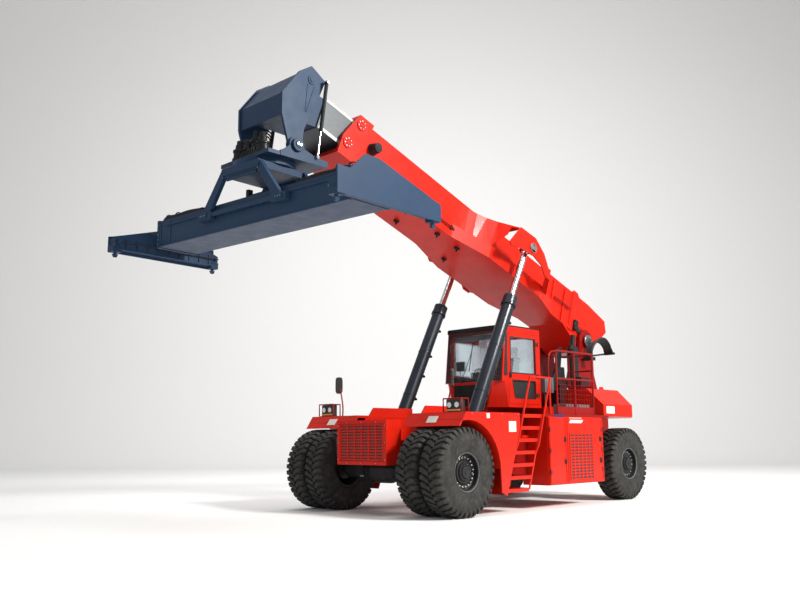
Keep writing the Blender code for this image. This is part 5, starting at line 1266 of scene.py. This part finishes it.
def spreader_detail():
    """Carriage, beam, trays, collars and hoses of the spreader."""
    beam_low, beam_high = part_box("spreader_beam")
    bottom, top = beam_low.z, beam_high.z
    half = 0.43
    length = 2.56
    table_top = HEAD_PIN.z - 0.361
    table = Piece(BEAM_AXES, on_beam)
    for x in (-0.50, 0.50):
        table.box(x - 0.045, x + 0.045, -0.48, 0.48, table_top - 0.16, table_top - 0.12)
    for side in (1, -1):
        for end in (1, -1):
            x = end * (half + 0.006 + 0.035 + 0.08)
            table.plate([(side * 0.93, 5.36), (side * 1.12, 5.36), (side * 1.06, 5.47), (side * 0.90, 5.47)],
                        x, x + end * 0.014, axis="x")
    for end in (1, -1):
        x0, x1 = end * (half + 0.046), end * (half + 0.110)
        table.box(*sorted((x0, x1)), -0.93, 0.93, 5.375, 5.445)
        table.box(*sorted((x0 + end * 0.02, x1 - end * 0.01)), -0.40, 0.40, table_top - 0.22,
                  table_top - 0.165)
    table.done("carriage_pads", SLATE, "slewing_carriage", bevel=0.005)
    studs = Piece(BEAM_AXES, on_beam)
    for side in (1, -1):
        for end in (1, -1):
            x = end * (half + 0.006 + 0.035 + 0.094)
            for k in range(3):
                studs.ring((x, side * (0.95 + 0.06 * k), 5.40), WIDE * end, 0.0, 1, 0.012, 0.012)
            x = end * (half + 0.006 + 0.035 + 0.08)
            for k in range(2):
                studs.ring((x, side * (0.44 + 0.03 * k), table_top - 0.08 - 0.07 * k), WIDE * end, 0.0,
                           1, 0.012, 0.012)
    studs.done("carriage_bolts", STEEL, "slewing_carriage", bevel=0.001)
    shift = Piece(BEAM_AXES, on_beam)
    shift.bar((0.0, -0.40, top + 0.16), (0.0, 0.40, top + 0.16), 0.045, 24)
    shift.bar((0.0, 0.40, top + 0.16), (0.0, 0.95, top + 0.16), 0.022, 20)
    shift.box(-0.05, 0.05, -0.44, -0.36, top + 0.10, top + 0.30)
    shift.done("shift_cylinder", BLACK, "slewing_carriage", bevel=0.004)

    beam = Piece(BEAM_AXES, on_beam)
    for end in (1, -1):
        for y in (-2.5, -2.2, 2.2, 2.5):
            beam.box(*sorted((end * half + end * 0.0005, end * (half + 0.010))), y - 0.03, y + 0.03,
                     bottom + 0.03, top - 0.03)
        beam.box(*span(end, half + 0.0005, half + 0.012), -length + 0.02, length - 0.02,
                 bottom + 0.002,
                 bottom + 0.028)
        for side in (1, -1):
            collar_x = sorted((end * (half - 0.02), end * (half + 0.018)))
            beam.box(*collar_x, side * length - 0.035, side * length + 0.035, bottom - 0.010, top + 0.012)
    for side in (1, -1):
        beam.box(-half, half, side * length - 0.035, side * length + 0.035, top + 0.0005, top + 0.014)
        beam.box(-half, half, side * length - 0.035, side * length + 0.035, bottom - 0.014, bottom - 0.0005)
    beam.done("beam_collars", SLATE, "spreader_beam", bevel=0.004)
    studs = Piece(BEAM_AXES, on_beam)
    for end in (1, -1):
        for side in (1, -1):
            for k in range(5):
                studs.ring((end * (half + 0.018), side * length, bottom + 0.06 + 0.09 * k), WIDE * end,
                           0.0, 1, 0.011, 0.010)
    studs.done("beam_bolts", STEEL, "spreader_beam", bevel=0.001)

    tray = Piece(BEAM_AXES, on_beam)
    for side in (1, -1):
        for k in range(7):
            y = side * (1.30 + 0.18 * k)
            tray.box(0.14, 0.40, y - 0.012, y + 0.012, top + 0.0005, top + 0.055)
        tray.box(0.38, 0.40, *span(side, 1.25, 2.45), top + 0.0005, top + 0.060)
        tray.box(0.14, 0.16, *span(side, 1.25, 2.45), top + 0.0005, top + 0.060)
    tray.done("hose_trays", BLACK, "spreader_beam", bevel=0.003)
    hoses = []
    for side in (1, -1):
        for k in range(5):
            x = 0.19 + 0.042 * k
            hoses.append([on_beam(x, side * 1.22, top + 0.045),
                          on_beam(x, side * 1.70, top + 0.078 + 0.006 * (k % 3)),
                          on_beam(x, side * 2.10, top + 0.074), on_beam(x, side * 2.44,
                                                                        top + 0.070 + 0.008 * (k % 2)),
                          on_beam(x, side * 2.52, top + 0.03)])
    pipe("beam_hoses", hoses, 0.014, HOSE, "spreader_beam")
    arches = []
    for side in (1, -1):
        for k in range(2):
            y = side * (2.05 + 0.30 * k)
            arches.append([on_beam(0.30, y, top + 0.01), on_beam(0.30, y + side * 0.02, top + 0.10),
                           on_beam(0.30, y + side * 0.16, top + 0.12), on_beam(0.30, y + side * 0.22,
                                                                               top + 0.02)])
    pipe("beam_hose_loops", arches, 0.012, HOSE, "spreader_beam")
    extension_detail()


def extension_detail():
    """Twistlock housings, guides, actuators and stiffeners on each end beam."""
    lock_y, lock_x, tip = 2.9265, 1.1295, 4.83
    panel = tip + 0.10
    for name, side in SIDES:
        body = "extension_" + name
        plates = Piece(BEAM_AXES, on_beam)
        for x in (-lock_x, lock_x):
            y = side * lock_y
            plates.box(x - 0.088, x + 0.088, y - 0.10, y + 0.10, panel + 0.102, panel + 0.118)
            plates.bar((x, y, panel + 0.10), (x, y, panel + 0.20), 0.050, 28, 0.044)
            plates.box(x - 0.030, x + 0.030, *sorted((y - side * 0.17, y - side * 0.02)), panel + 0.17,
                       panel + 0.20)
        for i in range(9):
            x = -0.96 + i * 0.24
            plates.box(x - 0.006, x + 0.006, *span(side, 2.82, 2.838), panel + 0.07, panel + 0.27)
        plates.done("end_beam_plates_" + name, SLATE, body, bevel=0.003)
        studs = Piece(BEAM_AXES, on_beam)
        for x in (-lock_x, lock_x):
            y = side * lock_y
            for dx in (-0.07, 0.07):
                for dy in (-0.08, 0.08):
                    studs.ring((x + dx, y + dy, panel + 0.118), (0, 0, 1), 0.0, 1, 0.011, 0.010)
        studs.done("lock_studs_" + name, STEEL, body, bevel=0.001)
        rods = Piece(BEAM_AXES, on_beam)
        rods.bar((-lock_x + 0.02, side * 2.80, panel + 0.185),
                 (lock_x - 0.02, side * 2.80, panel + 0.185), 0.014, 14)
        rods.bar((-0.30, side * 2.80, panel + 0.185), (0.30, side * 2.80, panel + 0.185), 0.032, 20)
        rods.done("lock_linkage_" + name, BLACK, body, bevel=0.002)


def cylinder_detail():
    """Glands, clips and pin caps of the lift and damper cylinders."""
    for name, side in SIDES:
        body = "lift_barrel_" + name
        joint = JOINTS["lift_rod_" + name]
        foot = Vector(joint["pos_m"])
        run = Vector(joint["axis"]).normalized()
        axes = (run, Vector((0, 1, 0)), Vector((-run.z, 0, run.x)))

        def place(u, y, v, foot=foot, axes=axes):
            return foot + axes[0] * u + axes[1] * y + axes[2] * v

        collar = Piece(axes, place)
        for start, end, radius in ((3.64, 3.70, 0.166), (3.86, 3.885, 0.150), (0.165, 0.22, 0.150),
                                   (2.6, 2.63, 0.1465),
                                   (1.5, 1.53, 0.1465)):
            collar.bar((start, 0, 0), (end, 0, 0), radius, 40)
        collar.ring((3.8805, 0, 0), run, 0.118, 12, 0.011, 0.012)
        collar.done("gland_" + name, SLATE_LIGHT, body, bevel=0.004)
        lines = [[place(0.45, 0.0, 0.150), place(0.50, 0.0, 0.168), place(3.50, 0.0, 0.168),
                  place(3.62, 0.0, 0.155)],
                 [place(0.60, side * 0.05, 0.145), place(0.65, side * 0.055, 0.160),
                  place(2.90, side * 0.055, 0.160)]]
        pipe("cylinder_pipes_" + name, lines, 0.012, SLATE_LIGHT, body, smooth=False)
        clamps = Piece(axes, place)
        for u in (0.8, 1.52, 2.1, 2.62, 3.3):
            clamps.box(u - 0.02, u + 0.02, -0.03, 0.08, 0.130, 0.186)
        clamps.done("cylinder_clamps_" + name, BLACK, body, bevel=0.003)
        eye = Piece(axes, place)
        length = 5.186
        eye.bar((length, side * -0.086, 0), (length, side * -0.094, 0), 0.075, 32)
        eye.bar((length, side * 0.086, 0), (length, side * 0.094, 0), 0.075, 32)
        eye.done("rod_eye_rings_" + name, STEEL, "lift_rod_" + name, bevel=0.002)


# ------------------------------------------------------------------ stage, light and camera
FLOOR_REACH = 60.0           # half the floor's width, and how far it runs in front
CURVE_START = 26.0           # behind the machine, where the floor starts to curve up
CURVE_RADIUS = 6.0
CURVE_STEPS = 14
BACKDROP_TOP = 40.0
BACKDROP_TURN = 46.26        # degrees from straight back, square to the camera's view
CAMERA_PLACE = (12.16, 12.07, 1.41)              # from under the front axle
CAMERA_TURNS = (223.74, 9.11, -0.46)             # heading, rise and roll, in degrees
CAMERA_LENS = 38.88                              # mm, on a sensor 36 mm wide


def stage():
    """A pale floor that curves up behind the machine."""
    bm = bmesh.new()
    path = [(-FLOOR_REACH, 0.0), (CURVE_START, 0.0)]
    for i in range(1, CURVE_STEPS + 1):
        angle = math.pi / 2 * i / CURVE_STEPS
        path.append((CURVE_START + CURVE_RADIUS * math.sin(angle), CURVE_RADIUS * (1 - math.cos(angle))))
    path.append((CURVE_START + CURVE_RADIUS, BACKDROP_TOP))
    heading = math.radians(BACKDROP_TURN)
    away = Vector((-math.sin(heading), -math.cos(heading), 0)).normalized()
    across = Vector((-away.y, away.x, 0))
    rows = []
    for s, z in path:
        rows.append([bm.verts.new(away * s + across * t + Vector((0, 0, z)))
                     for t in (-FLOOR_REACH, FLOOR_REACH)])
    for here, after in zip(rows, rows[1:]):
        bm.faces.new((here[0], here[1], after[1], after[0]))
    mesh = bpy.data.meshes.new("floor")
    bm.to_mesh(mesh)
    bm.free()
    mesh.shade_smooth()
    floor = bpy.data.objects.new("floor", mesh)
    bpy.context.scene.collection.objects.link(floor)
    material, _, shader = nodes_of("floor_look")
    shader.inputs["Base Color"].default_value = (0.80, 0.80, 0.80, 1)
    shader.inputs["Roughness"].default_value = 0.75
    shader.inputs["Specular IOR Level"].default_value = 0.2
    mesh.materials.append(material)


def lamp(name, place, target, size, power, colour=(1, 1, 1)):
    """One rectangular lamp aimed at a point."""
    light = bpy.data.lights.new(name, "AREA")
    light.shape = "RECTANGLE"
    light.size, light.size_y = size
    light.energy = power
    light.color = colour
    thing = bpy.data.objects.new(name, light)
    thing.location = place
    thing.rotation_mode = "QUATERNION"
    thing.rotation_quaternion = (Vector(target) - Vector(place)).to_track_quat("-Z", "Y")
    bpy.context.scene.collection.objects.link(thing)


def lights():
    """Even sky, a warm key from the machine's left and a lamp for the backdrop."""
    sky = bpy.context.scene.world or bpy.data.worlds.new("studio")
    bpy.context.scene.world = sky
    sky.use_nodes = True
    sky.node_tree.nodes["Background"].inputs["Color"].default_value = (1.0, 1.0, 1.0, 1)
    sky.node_tree.nodes["Background"].inputs["Strength"].default_value = 0.50
    lamp("key", (-4.0, 19.0, 14.0), (0, 0, 3.2), (4, 4), 7600, (1.0, 0.97, 0.92))
    lamp("top", (2.0, 1.0, 20.0), (0, 0, 3), (8, 8), 1500, (1.0, 0.99, 0.98))
    lamp("fill", (20.0, 6.0, 5.0), (0, 0, 3), (8, 5), 200, (0.92, 0.96, 1.0))
    lamp("backdrop", (-6.0, -6.0, 19.0), (-16.0, -16.0, 6.0), (16, 4), 2600)


def tones():
    """The plain curve of a studio print, with deep colour and clean whites."""
    view = bpy.context.scene.view_settings
    view.view_transform = "Standard"
    view.look = "None"
    view.exposure = -0.05


def camera():
    """Low at the machine's front left corner, looking slightly up."""
    place = world(*CAMERA_PLACE)
    yaw, pitch, roll = (math.radians(turn) for turn in CAMERA_TURNS)
    look = Vector((math.cos(pitch) * math.cos(yaw), math.cos(pitch) * math.sin(yaw), math.sin(pitch)))
    right = look.cross(Vector((0, 0, 1))).normalized()
    up = right.cross(look)
    right, up = (right * math.cos(roll) + up * math.sin(roll), up * math.cos(roll) - right * math.sin(roll))
    data = bpy.data.cameras.new("camera")
    data.sensor_width = 36.0
    data.lens = CAMERA_LENS
    data.clip_end = 300.0
    thing = bpy.data.objects.new("camera", data)
    rows = Matrix(((right.x, up.x, -look.x), (right.y, up.y, -look.y), (right.z, up.z, -look.z)))
    thing.matrix_world = Matrix.Translation(place) @ rows.to_4x4()
    bpy.context.scene.collection.objects.link(thing)
    bpy.context.scene.camera = thing


camera()
tones()
lights()
stage()
dress_frame()
wheels()
grille()
side_doors()
fender_fittings()
lights_and_mirrors()
chassis_detail()
ladder_and_rail()
counterweight_detail()
tower_detail()
cab()
boom_detail()
head_detail()
yoke_detail()
spreader_detail()
cylinder_detail()
